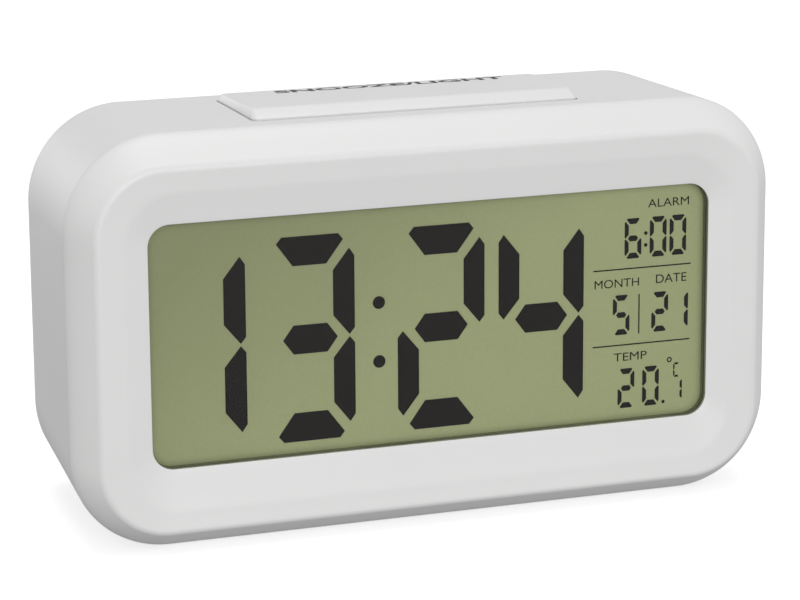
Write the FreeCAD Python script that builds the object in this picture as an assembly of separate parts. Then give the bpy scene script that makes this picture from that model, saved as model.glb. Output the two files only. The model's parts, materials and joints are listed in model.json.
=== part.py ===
import FreeCAD, Part
import math
import os
from FreeCAD import Vector

# Table alarm clock with a large liquid-crystal display and a long snooze bar on its top.
#
# Every piece is drawn square to the clock's own face: X runs to the right as the clock faces
# its user, Y runs from the front ridge of the bezel (y = 0) to the back face, and Z runs up from
# the bottom of the rim. stand() then leans the finished pieces back until the sloped underside
# of the rear case is level, and puts the origin at the middle of the bottom of the whole clock.
# Lengths are in millimetres and angles in degrees.

# ---- case ----
case_width = 135.0        # across the rim
case_height = 75.0        # rim, from bottom to top
case_depth = 45.0         # front ridge to back face
case_corner = 17.7        # corner radius of the rim
case_wall = 2.2
side_draft = 2.9          # each side of the rear case narrows by this angle
back_edge = 6.0           # radius round the back face
underside_skim = 0.05     # taken off the underside to make it a true plane
lean = 3.7                # the face leans back by this angle

# ---- bezel, as margins between its outlines ----
seam_y = 6.3              # depth of the joint between bezel and rear case
ridge_side = 4.4          # rim to ridge
ridge_top = 5.3
ridge_bottom = 3.7
ridge_corner = 12.5
ridge_round = 0.5         # half the width of the rounded crest
band_side = 5.2           # ridge to the inner edge of the flat band
band_top = 4.5
band_bottom = 4.0
band_corner = 9.3
band_depth = 0.3
slope_side = 4.3          # inner edge of the band to the display opening
slope_top = 5.7
slope_bottom = 7.5
opening_corner = 4.0
opening_depth = 1.3
lip = 0.7                 # thickness of the edge round the display opening
tongue = 2.0              # how far the bezel reaches into the rear case
tongue_wall = 1.2
tongue_gap = 0.3

# ---- display stack, from the front ----
stack_gap = 0.02          # air between stacked sheets
slide_fit = 0.1           # clearance round a piece that drops into a pocket
window_overlap = 1.9      # window beyond the opening
window_thickness = 0.8
gasket_thickness = 0.5
gasket_reveal = 0.05      # gasket seen inside the opening
polariser_thickness = 0.18
polariser_margin = 1.2
glass_thickness = 1.1
ledge = 3.0               # front glass beyond the rear glass, where the contacts are
guide_thickness = 2.0
guide_margin = 3.8
reflector_thickness = 0.15
frame_floor = 1.2
rib_wall = 1.2
rib_reach = 6.0           # height of the locating rib from the bezel's inside face
zebra_width = 1.8
zebra_inset = 4.0
led_length = 3.4
led_width = 1.2
led_height = 1.6
led_count = 3
led_pitch = 11.0
strip_thickness = 0.25

# ---- boards ----
board_thickness = 1.2
board_side = 10.5         # rim to main board
board_edge = 2.6          # board beyond its screw centres
board_corner = 8.0
board_screw_pitch = 30.0
board_post = 2.2          # radius
top_post_drop = 7.6       # rim to the upper board posts
bottom_post_rise = 9.0    # rim to the lower posts
snooze_board_depth = 10.0
snooze_board_end = 3.0    # board beyond its screw centres
boss = 2.4                # radius of a small screw boss
switch_side = 6.0
switch_body = 3.5
switch_plunger = 1.5      # plunger standing out of the switch
switch_floor = 1.2        # base under the plunger's bore
plunger_sunk = 0.8        # plunger inside the switch
plunger_radius = 1.7
plunger_fit = 0.15

# ---- parts on the main board, each from its own corner or middle ----
chip_x = -12.0
chip_z = 26.0
chip_ball = 12.0          # radius of the resin dome
chip_height = 1.6
crystal_x = 4.0
crystal_z = 32.0
crystal_radius = 1.0
crystal_length = 6.2
crystal_leg = 2.0
crystal_leg_gap = 0.4     # legs from the middle of the can
thin_leg = 0.15           # radius
capacitor_places = (24.0, 32.0)
capacitor_z = 42.0
capacitor_radius = 2.5
capacitor_height = 7.0
resistor_x = -44.0
resistor_z = 26.0
resistor_pitch = 5.0
resistor_length = 2.0
resistor_width = 1.2
resistor_height = 0.6
socket_x = -4.0
socket_drop = 5.5         # row of keys to the ribbon socket
socket_width = 4.0
socket_height = 3.0
socket_end = 1.5          # socket beyond the ribbon
ribbon_sag = 1.8

# ---- screws, as radius and length ----
case_screw_side = 17.5    # rim to the case screws, from each side
case_screw_drop = 6.8     # rim to the upper case screws
case_post = 3.0
case_boss_wall = 0.9
case_screw = 1.2
case_screw_head = 2.4
case_screw_length = 10.0
case_post_end = 16.9
small_screw = 0.9
small_screw_head = 1.8
small_screw_length = 6.0
head_height = 1.3
screw_fit = 0.02
head_fit = 0.3

# ---- snooze bar ----
snooze_half = 31.0
snooze_front = 10.5
snooze_back_margin = 11.0 # back face to snooze bar
snooze_rise = 1.85        # at the front crest
snooze_rear_rise = 1.45
snooze_face = 3.0         # run of the sloping front face
snooze_end_run = 0.3      # run of the sloping ends
snooze_corner = 1.0
snooze_gap = 0.4
snooze_wall = 1.5
snooze_flange = 1.2
snooze_flange_reach = 1.2 # flange beyond the opening
snooze_flange_gap = 0.2
snooze_travel = 1.0
snooze_switch_x = 18.0
snooze_stem = 2.0
stem_reach = 1.8          # stem below the pressed flange

# ---- rear keys and alarm slider ----
key_names = ("mode", "up", "down", "unit")
first_key_x = -37.0
key_pitch = 14.0
key_drop = 19.0           # rim to the row of keys
key_radius = 3.9
key_gap = 0.2
key_flange = 4.7
key_flange_thickness = 1.2
key_proud = 0.9
key_travel = 0.5
key_board_half_height = 7.0
slider_step = 15.0        # last key to slider
slider_length = 5.0
slider_height = 3.6
slider_flange_half = 6.0
slider_flange_height = 6.6
slider_travel = 3.0
slider_gap = 0.25
slide_switch_length = 9.0
slide_switch_height = 4.0
slide_switch_depth = 3.0
lever_size = 1.6
last_boss_step = 13.0     # slider to the last key-board screw

# ---- battery compartment ----
cell_radius = 5.25
cell_length = 44.5
cell_count = 2
cell_cover = 1.2          # cells to the inside of the door
cell_gap = 0.5
spring_space = 4.6
contact_space = 1.4
contact_thickness = 0.3
box_wall = 1.4
box_rise = 12.0           # rim bottom to the inside of the compartment
door_thickness = 1.95
door_overlap = 2.0        # door beyond the inside of the compartment
door_gap = 0.15
door_pin = 0.6            # radius
door_pin_length = 1.4
door_pin_fit = 0.1
door_pad = 1.8            # wall thickening round the door
door_swing = 80.0
latch_half = 5.0
latch_reach = 2.4
notch_radius = 6.0
notch_depth = 1.1
spring_wire = 0.35
spring_radius = 2.9
spring_turns = 4

# ---- sounder, vents and wires ----
sounder_radius = 6.5
sounder_edge = 17.5       # rim to the sounder's centre
sounder_rise = 27.0
sounder_ring_wall = 1.3
sounder_stand_off = 2.6
disc_thickness = 0.3
ceramic_radius = 4.8
ceramic_thickness = 0.2
sound_hole = 0.8          # radius
sound_circle = 3.2
vent_length = 8.0
vent_width = 1.4
vent_pitch = 3.2
vent_count = 3
sensor_radius = 1.4
sensor_stand_off = 22.0
lead_radius = 0.5
sounder_lead_gap = 3.0
ribbon_width = 8.0
ribbon_thickness = 0.8

# ---- places worked out from the dimensions above ----
half_width = case_width / 2
opening_half = half_width - ridge_side - band_side - slope_side
opening_low = ridge_bottom + band_bottom + slope_bottom
opening_high = case_height - ridge_top - band_top - slope_top
pocket_y = opening_depth + lip
stack_half = opening_half + window_overlap
stack_low = opening_low - window_overlap + slide_fit
stack_high = opening_high + window_overlap + ledge - slide_fit
gasket_y = pocket_y + window_thickness + stack_gap
front_polariser_y = gasket_y + gasket_thickness + stack_gap
front_glass_y = front_polariser_y + polariser_thickness + stack_gap
rear_glass_y = front_glass_y + glass_thickness + stack_gap
rear_polariser_y = rear_glass_y + glass_thickness + stack_gap
guide_y = rear_polariser_y + polariser_thickness + stack_gap
reflector_y = guide_y + guide_thickness + stack_gap
floor_y = reflector_y + reflector_thickness + stack_gap
board_y = floor_y + frame_floor + stack_gap
board_back_y = board_y + board_thickness
view_high = opening_high + window_overlap - slide_fit
guide_half = stack_half - guide_margin
top_post_z = case_height - top_post_drop
case_screw_x = half_width - case_screw_side
case_screw_high = case_height - case_screw_drop
inner_back_y = case_depth - case_wall
inner_top = case_height - case_wall
snooze_back = case_depth - snooze_back_margin
snooze_middle = (snooze_front + snooze_back) / 2
flange_out = snooze_gap + snooze_flange_reach
snooze_boss_x = snooze_half + flange_out + boss + head_fit
snooze_board_half = snooze_boss_x + snooze_board_end
flange_top = inner_top - snooze_flange_gap
flange_bottom = flange_top - snooze_flange
stem_end = flange_bottom - snooze_travel - stem_reach
snooze_board_top = stem_end - switch_plunger - switch_body
key_z = case_height - key_drop
flange_back = inner_back_y - snooze_flange_gap
flange_front = flange_back - key_flange_thickness
key_board_back = flange_front - switch_plunger - switch_body
key_board_front = key_board_back - board_thickness
slider_x = first_key_x + key_pitch * (len(key_names) - 1) + slider_step
last_boss_x = slider_x + last_boss_step
key_boss_xs = (first_key_x + key_pitch / 2, first_key_x + key_pitch * 2.5, last_boss_x)
box_half = (cell_length + spring_space + contact_space) / 2
box_high = box_rise + cell_count * 2 * cell_radius + (cell_count + 1) * cell_gap
door_inner_y = case_depth - door_thickness
box_floor_y = door_inner_y - cell_cover - 2 * cell_radius - cell_gap
cell_y = box_floor_y + cell_gap + cell_radius
door_half = box_half + door_overlap
door_high = box_high + door_overlap
hinge_y = case_depth - door_thickness / 2
hinge_z = box_rise - door_overlap + door_thickness / 2
sounder_x = -(half_width - sounder_edge)
sounder_ring_y = inner_back_y - sounder_stand_off
sensor_x = half_width - sounder_edge


# ---------------------------------------------------------------- helpers
def box(x0, x1, y0, y1, z0, z1):
    """Rectangular block between two corners."""
    return Part.makeBox(x1 - x0, y1 - y0, z1 - z0, Vector(x0, y0, z0))


def rod_x(radius, x0, x1, y, z):
    """Round bar along X."""
    return Part.makeCylinder(radius, x1 - x0, Vector(x0, y, z), Vector(1, 0, 0))


def rod_y(radius, y0, y1, x, z):
    """Round bar along Y."""
    return Part.makeCylinder(radius, y1 - y0, Vector(x, y0, z), Vector(0, 1, 0))


def rod_z(radius, z0, z1, x, y):
    """Round bar along Z."""
    return Part.makeCylinder(radius, z1 - z0, Vector(x, y, z0), Vector(0, 0, 1))


def rounded_wire(to_point, left, right, low, high, radius):
    """Rounded rectangle in any plane: four sides and four corner arcs, always in the same order."""
    cut = radius * (1 - math.sqrt(0.5))
    corners = (
        ((right - radius, low), (right - cut, low + cut), (right, low + radius)),
        ((right, high - radius), (right - cut, high - cut), (right - radius, high)),
        ((left + radius, high), (left + cut, high - cut), (left, high - radius)),
        ((left, low + radius), (left + cut, low + cut), (left + radius, low)),
    )
    edges = []
    last = to_point(*corners[3][2])
    for start, middle, end in corners:
        edges.append(Part.LineSegment(last, to_point(*start)).toShape())
        arc = Part.Arc(to_point(*start), to_point(*middle), to_point(*end))
        edges.append(arc.toShape())
        last = to_point(*end)
    return Part.Wire(edges)


def ring_y(y, half, low, high, radius):
    """Rounded rectangle across the clock at depth y."""
    return rounded_wire(lambda x, z: Vector(x, y, z), -half, half, low, high, radius)


def plate_y(left, right, low, high, radius, y0, y1):
    """Plate with rounded corners, lying across the clock from depth y0 to y1."""
    wire = rounded_wire(lambda x, z: Vector(x, y0, z), left, right, low, high, radius)
    return Part.Face(wire).extrude(Vector(0, y1 - y0, 0))


def plate_z(left, right, front, back, radius, z0, z1):
    """Plate with rounded corners, lying level from height z0 to z1."""
    wire = rounded_wire(lambda x, y: Vector(x, y, z0), left, right, front, back, radius)
    return Part.Face(wire).extrude(Vector(0, 0, z1 - z0))


def ring_solid(rings):
    """Solid ring whose skin is ruled from each outline to the next, and from the last to the first."""
    faces = []
    for first, second in zip(rings, rings[1:] + rings[:1]):
        faces.extend(Part.makeRuledSurface(first, second).Faces)
    shell = Part.Shell(faces)
    shell.sewShape()
    solid = Part.Solid(shell)
    if solid.Volume < 0:
        solid.reverse()
    return solid


def screw(radius, head_radius, length, at, axis):
    """Pan-head screw: at is the underside of the head and axis points to the tip."""
    shank = Part.makeCylinder(radius, length, at, axis)
    head = Part.makeCylinder(head_radius, head_height, at, axis * -1)
    slot_at = at - axis * (head_height + 0.1)
    slot = Part.makeBox(head_radius * 2.2, head_radius * 0.36, 0.7)
    slot.translate(Vector(-head_radius * 1.1, -head_radius * 0.18, 0))
    cross = slot.fuse(slot.rotated(Vector(0, 0, 0), Vector(0, 0, 1), 90))
    cross = cross.common(Part.makeCylinder(head_radius * 0.62, 0.7))
    cross.Placement = FreeCAD.Placement(slot_at, FreeCAD.Rotation(Vector(0, 0, 1), axis)).multiply(
        cross.Placement)
    return shank.fuse(head).cut(cross)


def cord(points, radius):
    """Wire along straight runs joined by tangent arcs, each as large as its two runs allow."""
    corners = [Vector(*point) for point in points]
    edges = []
    last = corners[0]
    for before, here, after in zip(corners, corners[1:], corners[2:]):
        back = (before - here).normalize()
        ahead = (after - here).normalize()
        shorter = min((before - here).Length, (after - here).Length)
        reach = 0.45 * shorter
        half_turn = (math.pi - back.getAngle(ahead)) / 2
        bend = reach / math.tan(half_turn)
        inward = (back + ahead).normalize()
        start = here + back * reach
        end = here + ahead * reach
        middle = here + inward * (bend / math.cos(half_turn) - bend)
        edges.append(Part.LineSegment(last, start).toShape())
        edges.append(Part.Arc(start, middle, end).toShape())
        last = end
    edges.append(Part.LineSegment(last, corners[-1]).toShape())
    path = Part.Wire(edges)
    profile = Part.Wire(Part.makeCircle(radius, corners[0], corners[1] - corners[0]))
    return path.makePipeShell([profile], True, True)


# ---------------------------------------------------------------- case shells
def rim_ring(y, side, top, bottom, radius):
    """Bezel outline at depth y, drawn in from the rim by a margin on each side."""
    return ring_y(y, half_width - side, bottom, case_height - top, radius)


def even_ring(y, inset):
    """Bezel outline drawn in from the rim by the same amount all round."""
    return rim_ring(y, inset, inset, inset, case_corner - inset)


def front_bezel():
    """Front frame: rounded rim, sloping outer band, ridge, flat band and inner slope."""
    inner_inset = case_wall + tongue_gap + tongue_wall
    crest = ridge_round
    rings = [
        even_ring(seam_y, 0),
        even_ring(seam_y * 0.8, 0.25),
        even_ring(seam_y * 0.6, 0.95),
        rim_ring(crest * 0.9, ridge_side - crest, ridge_top - crest, ridge_bottom - crest,
                 ridge_corner + crest),
        rim_ring(0, ridge_side, ridge_top, ridge_bottom, ridge_corner),
        rim_ring(crest * 0.2, ridge_side + crest, ridge_top + crest, ridge_bottom + crest,
                 ridge_corner - crest),
        rim_ring(band_depth, ridge_side + band_side, ridge_top + band_top,
                 ridge_bottom + band_bottom, band_corner),
        ring_y(opening_depth, opening_half, opening_low, opening_high, opening_corner),
        ring_y(pocket_y, opening_half, opening_low, opening_high, opening_corner),
        even_ring(pocket_y, inner_inset + 2.6),
        even_ring(seam_y - 0.4, inner_inset),
        even_ring(seam_y + tongue, inner_inset),
        even_ring(seam_y + tongue, case_wall + tongue_gap),
        even_ring(seam_y, case_wall + tongue_gap),
    ]
    body = ring_solid(rings)
    rib_y = pocket_y + rib_reach
    root_y = pocket_y - 0.4
    rib_outer = plate_y(-stack_half - rib_wall, stack_half + rib_wall, stack_low - rib_wall,
                        stack_high + rib_wall, 1.0, root_y, rib_y)
    rib_inner = box(-stack_half, stack_half, pocket_y - 1, rib_y + 1, stack_low, stack_high)
    opening = box(-opening_half - window_overlap, opening_half + window_overlap, 0, rib_y + 1,
                  stack_low, view_high)
    rib = rib_outer.cut(rib_inner)
    pieces = [rib.cut(opening)]
    holes = []
    for x, z in case_screw_places():
        pieces.append(rod_y(case_post, root_y, case_post_end, x, z))
        holes.append(rod_y(case_screw + screw_fit, case_post_end - case_screw_length, case_post_end, x, z))
    for x, z in board_screw_places():
        pieces.append(rod_y(board_post, root_y, board_y, x, z))
        holes.append(rod_y(small_screw + screw_fit, board_y - small_screw_length, board_y, x, z))
    return body.fuse(pieces).cut(holes).removeSplitter()


def case_ring(y, inset):
    """Outline of the rear case at depth y: sides draw in, the underside rises, the top is level."""
    back = y - seam_y
    half = half_width - back * math.tan(math.radians(side_draft)) - inset
    low = back * math.tan(math.radians(lean)) + inset - underside_skim
    return ring_y(y, half, low, case_height - inset, case_corner - inset)


def case_block(front_y, inset):
    """Solid block of the rear case's shape, drawn in by inset, with its back edge rounded."""
    back_y = case_depth - inset
    block = Part.makeLoft([case_ring(front_y, inset), case_ring(back_y, inset)], True, True)
    back_edges = []
    for edge in block.Edges:
        if min(vertex.Point.y for vertex in edge.Vertexes) > back_y - 0.001:
            back_edges.append(edge)
    return block.makeFillet(back_edge - inset, back_edges)


def ground():
    """Everything below the sloping plane that becomes the level underside."""
    below = box(-case_width, case_width, -case_depth, 2 * case_depth, -case_depth, 0)
    below.rotate(Vector(0, 0, 0), Vector(1, 0, 0), lean)
    below.translate(Vector(0, seam_y, 0))
    return below


def case_screw_places():
    """Centres of the four long case screws, seen from the front."""
    places = []
    for x in (-case_screw_x, case_screw_x):
        for z in (bottom_post_rise, case_screw_high):
            places.append((x, z))
    return places


def board_screw_places():
    """Centres of the six screws that press the main board on to the display."""
    places = []
    for x in (-board_screw_pitch, 0, board_screw_pitch):
        for z in (bottom_post_rise, top_post_z):
            places.append((x, z))
    return places


def sound_hole_places():
    """A ring of six sound holes about a middle one."""
    places = [(sounder_x, sounder_rise)]
    for index in range(6):
        angle = math.radians(60 * index)
        places.append((sounder_x + sound_circle * math.cos(angle),
                       sounder_rise + sound_circle * math.sin(angle)))
    return places


def rear_case():
    """Rear shell with its screw bosses, battery compartment and openings."""
    outer = case_block(seam_y, 0).cut(ground())
    shell = outer.cut(case_block(seam_y - 1, case_wall))
    inside = []
    cuts = []

    # Long bosses: the screw head sits on a web near the front and is reached from the back.
    boss_outer = case_screw_head + head_fit + case_boss_wall
    web_y = case_post_end + 0.1
    seat_y = web_y + case_boss_wall * 3
    for x, z in case_screw_places():
        inside.append(rod_y(boss_outer, web_y, inner_back_y + 1, x, z))
        cuts.append(rod_y(case_screw_head + head_fit, seat_y, case_depth + 1, x, z))
        cuts.append(rod_y(case_screw + plunger_fit, web_y - 1, seat_y + 1, x, z))

    # Snooze opening and the two bosses that carry its board.
    cuts.append(plate_z(-snooze_half - snooze_gap, snooze_half + snooze_gap, snooze_front - snooze_gap,
                        snooze_back + snooze_gap, snooze_corner + snooze_gap,
                        inner_top - 2, case_height + 2))
    for x in (-snooze_boss_x, snooze_boss_x):
        inside.append(rod_z(boss, snooze_board_top, inner_top + 1, x, snooze_middle))
        cuts.append(rod_z(small_screw + screw_fit, snooze_board_top - 1,
                          snooze_board_top + small_screw_length - board_thickness, x, snooze_middle))

    # Keys, slider and the bosses that carry the key board.
    for index in range(len(key_names)):
        cuts.append(rod_y(key_radius + key_gap, inner_back_y - 2, case_depth + 1,
                          first_key_x + key_pitch * index, key_z))
    cuts.append(plate_y(slider_x - slider_length / 2 - slider_gap,
                        slider_x + slider_length / 2 + slider_travel + slider_gap,
                        key_z - slider_height / 2 - slider_gap, key_z + slider_height / 2 + slider_gap,
                        0.6, inner_back_y - 2, case_depth + 1))
    for x in key_boss_xs:
        inside.append(rod_y(boss - 0.5, key_board_back, inner_back_y + 1, x, key_z))
        cuts.append(rod_y(small_screw + screw_fit, key_board_back - 1,
                          key_board_back + small_screw_length - board_thickness, x, key_z))

    # Battery compartment, with a thick pad round the door and round holes for its two pins.
    inside.append(box(-box_half - box_wall, box_half + box_wall, box_floor_y - box_wall,
                      inner_back_y + 1, box_rise - box_wall, box_high + box_wall))
    inside.append(box(-door_half - door_pad, door_half + door_pad, door_inner_y - door_pad,
                      inner_back_y + 1, box_rise - door_overlap - door_pad, door_high + door_pad))
    cuts.append(box(-box_half, box_half, box_floor_y, case_depth + 1, box_rise, box_high))
    cuts.append(box(-door_half - door_gap, door_half + door_gap, door_inner_y - door_gap / 3,
                    case_depth + 1, box_rise - door_overlap - door_gap, door_high + door_gap))
    cuts.append(rod_x(door_pin + door_pin_fit, -door_half - door_pin_length - door_pin_fit,
                      door_half + door_pin_length + door_pin_fit, hinge_y, hinge_z))
    cuts.append(rod_y(notch_radius, case_depth - notch_depth, case_depth + 1, 0, door_high))

    # Sound holes and the vents over the temperature sensor.
    for x, z in sound_hole_places():
        cuts.append(rod_y(sound_hole, inner_back_y - 1, case_depth + 1, x, z))
    for index in range(vent_count):
        z = sounder_rise + vent_pitch * (index - (vent_count - 1) / 2)
        cuts.append(plate_y(sensor_x - vent_length / 2, sensor_x + vent_length / 2, z - vent_width / 2,
                            z + vent_width / 2, vent_width * 0.45, inner_back_y - 1, case_depth + 1))

    added = inside[0].fuse(inside[1:]).common(outer)
    return shell.fuse(added).cut(cuts).removeSplitter()


def case_screws():
    """Four long screws from the back into the bezel's posts."""
    seat_y = case_post_end + 0.1 + case_boss_wall * 3
    pieces = []
    for x, z in case_screw_places():
        length = seat_y - case_post_end + case_screw_length - 0.5
        pieces.append(screw(case_screw, case_screw_head, length, Vector(x, seat_y, z), Vector(0, -1, 0)))
    return Part.makeCompound(pieces)


# ---------------------------------------------------------------- display
def display_window():
    """Clear cover behind the display opening."""
    fit = slide_fit
    return plate_y(-stack_half + fit, stack_half - fit, stack_low + fit, view_high - fit, 0.6,
                   pocket_y + stack_gap, pocket_y + window_thickness)


def window_gasket():
    """Dark foam frame between the window and the display."""
    fit = slide_fit
    outer = plate_y(-stack_half + fit, stack_half - fit, stack_low + fit, view_high - fit, 0.6,
                    gasket_y, gasket_y + gasket_thickness)
    inner = plate_y(-opening_half + gasket_reveal, opening_half - gasket_reveal,
                    opening_low + gasket_reveal, opening_high - gasket_reveal,
                    opening_corner - gasket_reveal, gasket_y - 1, gasket_y + gasket_thickness + 1)
    return outer.cut(inner)


def polariser(y):
    """Thin film, a little smaller than the glass that it lies on."""
    margin = polariser_margin
    return box(-stack_half + margin, stack_half - margin, y, y + polariser_thickness,
               stack_low + margin, view_high - margin)


def lcd_front_glass():
    """Front glass, with a ledge at the top for the contact strip."""
    fit = slide_fit
    return box(-stack_half + fit, stack_half - fit, front_glass_y, front_glass_y + glass_thickness,
               stack_low + fit, stack_high - fit)


def lcd_rear_glass():
    """Rear glass, which stops short of the ledge."""
    fit = slide_fit
    return box(-stack_half + fit, stack_half - fit, rear_glass_y, rear_glass_y + glass_thickness,
               stack_low + fit, stack_high - ledge - fit)


def zebra_strip():
    """Rubber contact strip between the front glass's ledge and the main board."""
    low = stack_high - ledge / 2 - zebra_width / 2
    return box(-stack_half + zebra_inset, stack_half - zebra_inset, front_glass_y + glass_thickness,
               board_y, low, low + zebra_width)


def light_guide():
    """Clear block that spreads the backlight."""
    return box(-guide_half + slide_fit, guide_half - slide_fit, guide_y, guide_y + guide_thickness,
               stack_low + polariser_margin + slide_fit, view_high - polariser_margin - slide_fit)


def reflector_sheet():
    """White sheet behind the light guide."""
    return box(-guide_half + slide_fit, guide_half - slide_fit, reflector_y,
               reflector_y + reflector_thickness, stack_low + polariser_margin + slide_fit,
               view_high - polariser_margin - slide_fit)


def led_places():
    """Heights of the backlight lamps at the left edge of the light guide."""
    middle = (opening_low + opening_high) / 2
    return [middle + led_pitch * (index - (led_count - 1) / 2) for index in range(led_count)]


def backlight_leds():
    """Side-view lamps that shine into the light guide."""
    pieces = []
    for z in led_places():
        pieces.append(box(-guide_half - led_width, -guide_half, guide_y + 0.1, guide_y + 0.1 + led_height,
                          z - led_length / 2, z + led_length / 2))
    return Part.makeCompound(pieces)


def led_strip():
    """Flexible strip that carries the lamps, with a tail to the main board."""
    x = -guide_half - led_width - strip_thickness
    reach = led_pitch * (led_count - 1) / 2 + led_length
    middle = (opening_low + opening_high) / 2
    strip = box(x, x + strip_thickness, guide_y, guide_y + guide_thickness, middle - reach, middle + reach)
    tail = box(x, x + strip_thickness, guide_y, board_y, middle - led_length, middle + led_length)
    return strip.fuse(tail).removeSplitter()


def lcd_frame():
    """White tray that holds the light guide and the contact strip behind the glass."""
    fit = slide_fit
    body = box(-stack_half + fit, stack_half - fit, guide_y, board_y - stack_gap, stack_low + fit,
               stack_high - fit)
    pocket = box(-guide_half, guide_half, guide_y - 1, floor_y, stack_low + polariser_margin,
                 view_high - polariser_margin)
    middle = (opening_low + opening_high) / 2
    reach = led_pitch * (led_count - 1) / 2 + led_length + fit
    strip_x = -guide_half - led_width - strip_thickness
    lamp_pocket = box(strip_x - fit, -guide_half + fit, guide_y - 1, floor_y, middle - reach,
                      middle + reach)
    tail = box(strip_x - fit, strip_x + strip_thickness + fit, guide_y - 1, board_y + 1,
               middle - led_length - fit, middle + led_length + fit)
    slot_low = stack_high - ledge / 2 - zebra_width / 2 - fit
    slot = box(-stack_half + zebra_inset - fit, stack_half - zebra_inset + fit, guide_y - 1, board_y + 1,
               slot_low, slot_low + zebra_width + 2 * fit)
    return body.cut([pocket, lamp_pocket, tail, slot])


# ---------------------------------------------------------------- boards
def main_board():
    """Circuit board behind the display, notched round the case posts."""
    half = half_width - board_side
    board = plate_y(-half, half, bottom_post_rise - board_edge, top_post_z + board_edge, board_corner,
                    board_y, board_back_y)
    holes = []
    for x, z in case_screw_places():
        holes.append(rod_y(case_post + 0.6, board_y - 1, board_back_y + 1, x, z))
    for x, z in board_screw_places():
        holes.append(rod_y(small_screw + plunger_fit, board_y - 1, board_back_y + 1, x, z))
    return board.cut(holes)


def board_screws():
    """Six small screws through the main board."""
    pieces = []
    for x, z in board_screw_places():
        length = small_screw_length + board_thickness - 0.5
        pieces.append(screw(small_screw, small_screw_head, length, Vector(x, board_back_y, z),
                            Vector(0, -1, 0)))
    return Part.makeCompound(pieces)


def chip_blob():
    """Black resin dome over the clock chip."""
    ball = Part.makeSphere(chip_ball, Vector(chip_x, board_back_y + chip_height - chip_ball, chip_z))
    return ball.common(box(chip_x - chip_ball, chip_x + chip_ball, board_back_y,
                           board_back_y + chip_height + 1, chip_z - chip_ball, chip_z + chip_ball))


def clock_crystal():
    """Tuning-fork crystal in its can, lying on the board."""
    level = board_back_y + crystal_radius
    can = rod_x(crystal_radius, crystal_x, crystal_x + crystal_length, level, crystal_z)
    legs = []
    for z in (crystal_z - crystal_leg_gap, crystal_z + crystal_leg_gap):
        legs.append(rod_x(thin_leg, crystal_x - crystal_leg, crystal_x + thin_leg, level, z))
        legs.append(rod_y(thin_leg, board_back_y, level, crystal_x - crystal_leg + thin_leg, z))
    return can.fuse(legs)


def board_capacitors():
    """Two standing electrolytic capacitors."""
    pieces = []
    for x in capacitor_places:
        can = rod_y(capacitor_radius, board_back_y, board_back_y + capacitor_height, x, capacitor_z)
        can = can.makeFillet(0.4, [can.Edges[0], can.Edges[2]])
        pieces.append(can)
    return Part.makeCompound(pieces)


def board_resistors():
    """Rows of small surface-mounted parts."""
    pieces = []
    for row in range(2):
        for column in range(5):
            x = resistor_x + resistor_pitch * column
            z = resistor_z + resistor_pitch * row
            pieces.append(box(x, x + resistor_length, board_back_y, board_back_y + resistor_height,
                              z, z + resistor_width))
    return Part.makeCompound(pieces)


def tact_switch(at, axis):
    """Square switch body with a blind hole for its plunger; at is on the board, axis points out."""
    half = switch_side / 2
    body = Part.makeBox(switch_side, switch_side, switch_body, Vector(-half, -half, 0))
    bore = Part.makeCylinder(plunger_radius + plunger_fit, switch_body, Vector(0, 0, switch_floor))
    body = body.cut(bore)
    body.Placement = FreeCAD.Placement(at, FreeCAD.Rotation(Vector(0, 0, 1), axis))
    return body


def tact_plunger(at, axis):
    """Plunger of a tact switch; at is on the board."""
    base = at + axis * (switch_body - plunger_sunk)
    return Part.makeCylinder(plunger_radius, switch_plunger + plunger_sunk, base, axis)


# ---------------------------------------------------------------- snooze bar
def snooze_button():
    """Long bar: sloping front face and ends, top that falls gently to the back, skirt and flange."""
    profile = [
        (snooze_front, flange_bottom),
        (snooze_front, case_height + 0.2),
        (snooze_front + snooze_face, case_height + snooze_rise),
        (snooze_back - 0.6, case_height + snooze_rear_rise),
        (snooze_back, case_height + snooze_rear_rise - 0.5),
        (snooze_back, flange_bottom),
        (snooze_front, flange_bottom),
    ]
    side = Part.Face(Part.makePolygon([Vector(-snooze_half, y, z) for y, z in profile]))
    bar = side.extrude(Vector(2 * snooze_half, 0, 0))
    bar = bar.common(plate_z(-snooze_half, snooze_half, snooze_front, snooze_back, snooze_corner,
                             flange_bottom, case_height + 5))
    outline = [
        (-snooze_half, flange_bottom),
        (-snooze_half, case_height + 0.2),
        (-snooze_half + snooze_end_run, case_height + snooze_rise + 0.1),
        (snooze_half - snooze_end_run, case_height + snooze_rise + 0.1),
        (snooze_half, case_height + 0.2),
        (snooze_half, flange_bottom),
        (-snooze_half, flange_bottom),
    ]
    front = Part.Face(Part.makePolygon([Vector(x, snooze_front - 1, z) for x, z in outline]))
    bar = bar.common(front.extrude(Vector(0, snooze_back - snooze_front + 2, 0)))
    flange = plate_z(-snooze_half - flange_out, snooze_half + flange_out, snooze_front - flange_out,
                     snooze_back + flange_out, snooze_corner + flange_out, flange_bottom, flange_top)
    hollow = plate_z(-snooze_half + snooze_wall, snooze_half - snooze_wall, snooze_front + snooze_wall,
                     snooze_back - snooze_wall, snooze_corner - snooze_wall / 2, flange_bottom - 1,
                     case_height + snooze_rear_rise - snooze_wall)
    stems = []
    for x in (-snooze_switch_x, snooze_switch_x):
        stems.append(rod_z(snooze_stem, stem_end, case_height, x, snooze_middle))
    return bar.fuse(flange).cut(hollow).fuse(stems).removeSplitter()


def snooze_switch_places():
    """Points on the snooze board below the two stems."""
    return [Vector(x, snooze_middle, snooze_board_top) for x in (-snooze_switch_x, snooze_switch_x)]


def snooze_switches():
    """The two switches under the bar."""
    return Part.makeCompound([tact_switch(at, Vector(0, 0, 1)) for at in snooze_switch_places()])


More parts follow.
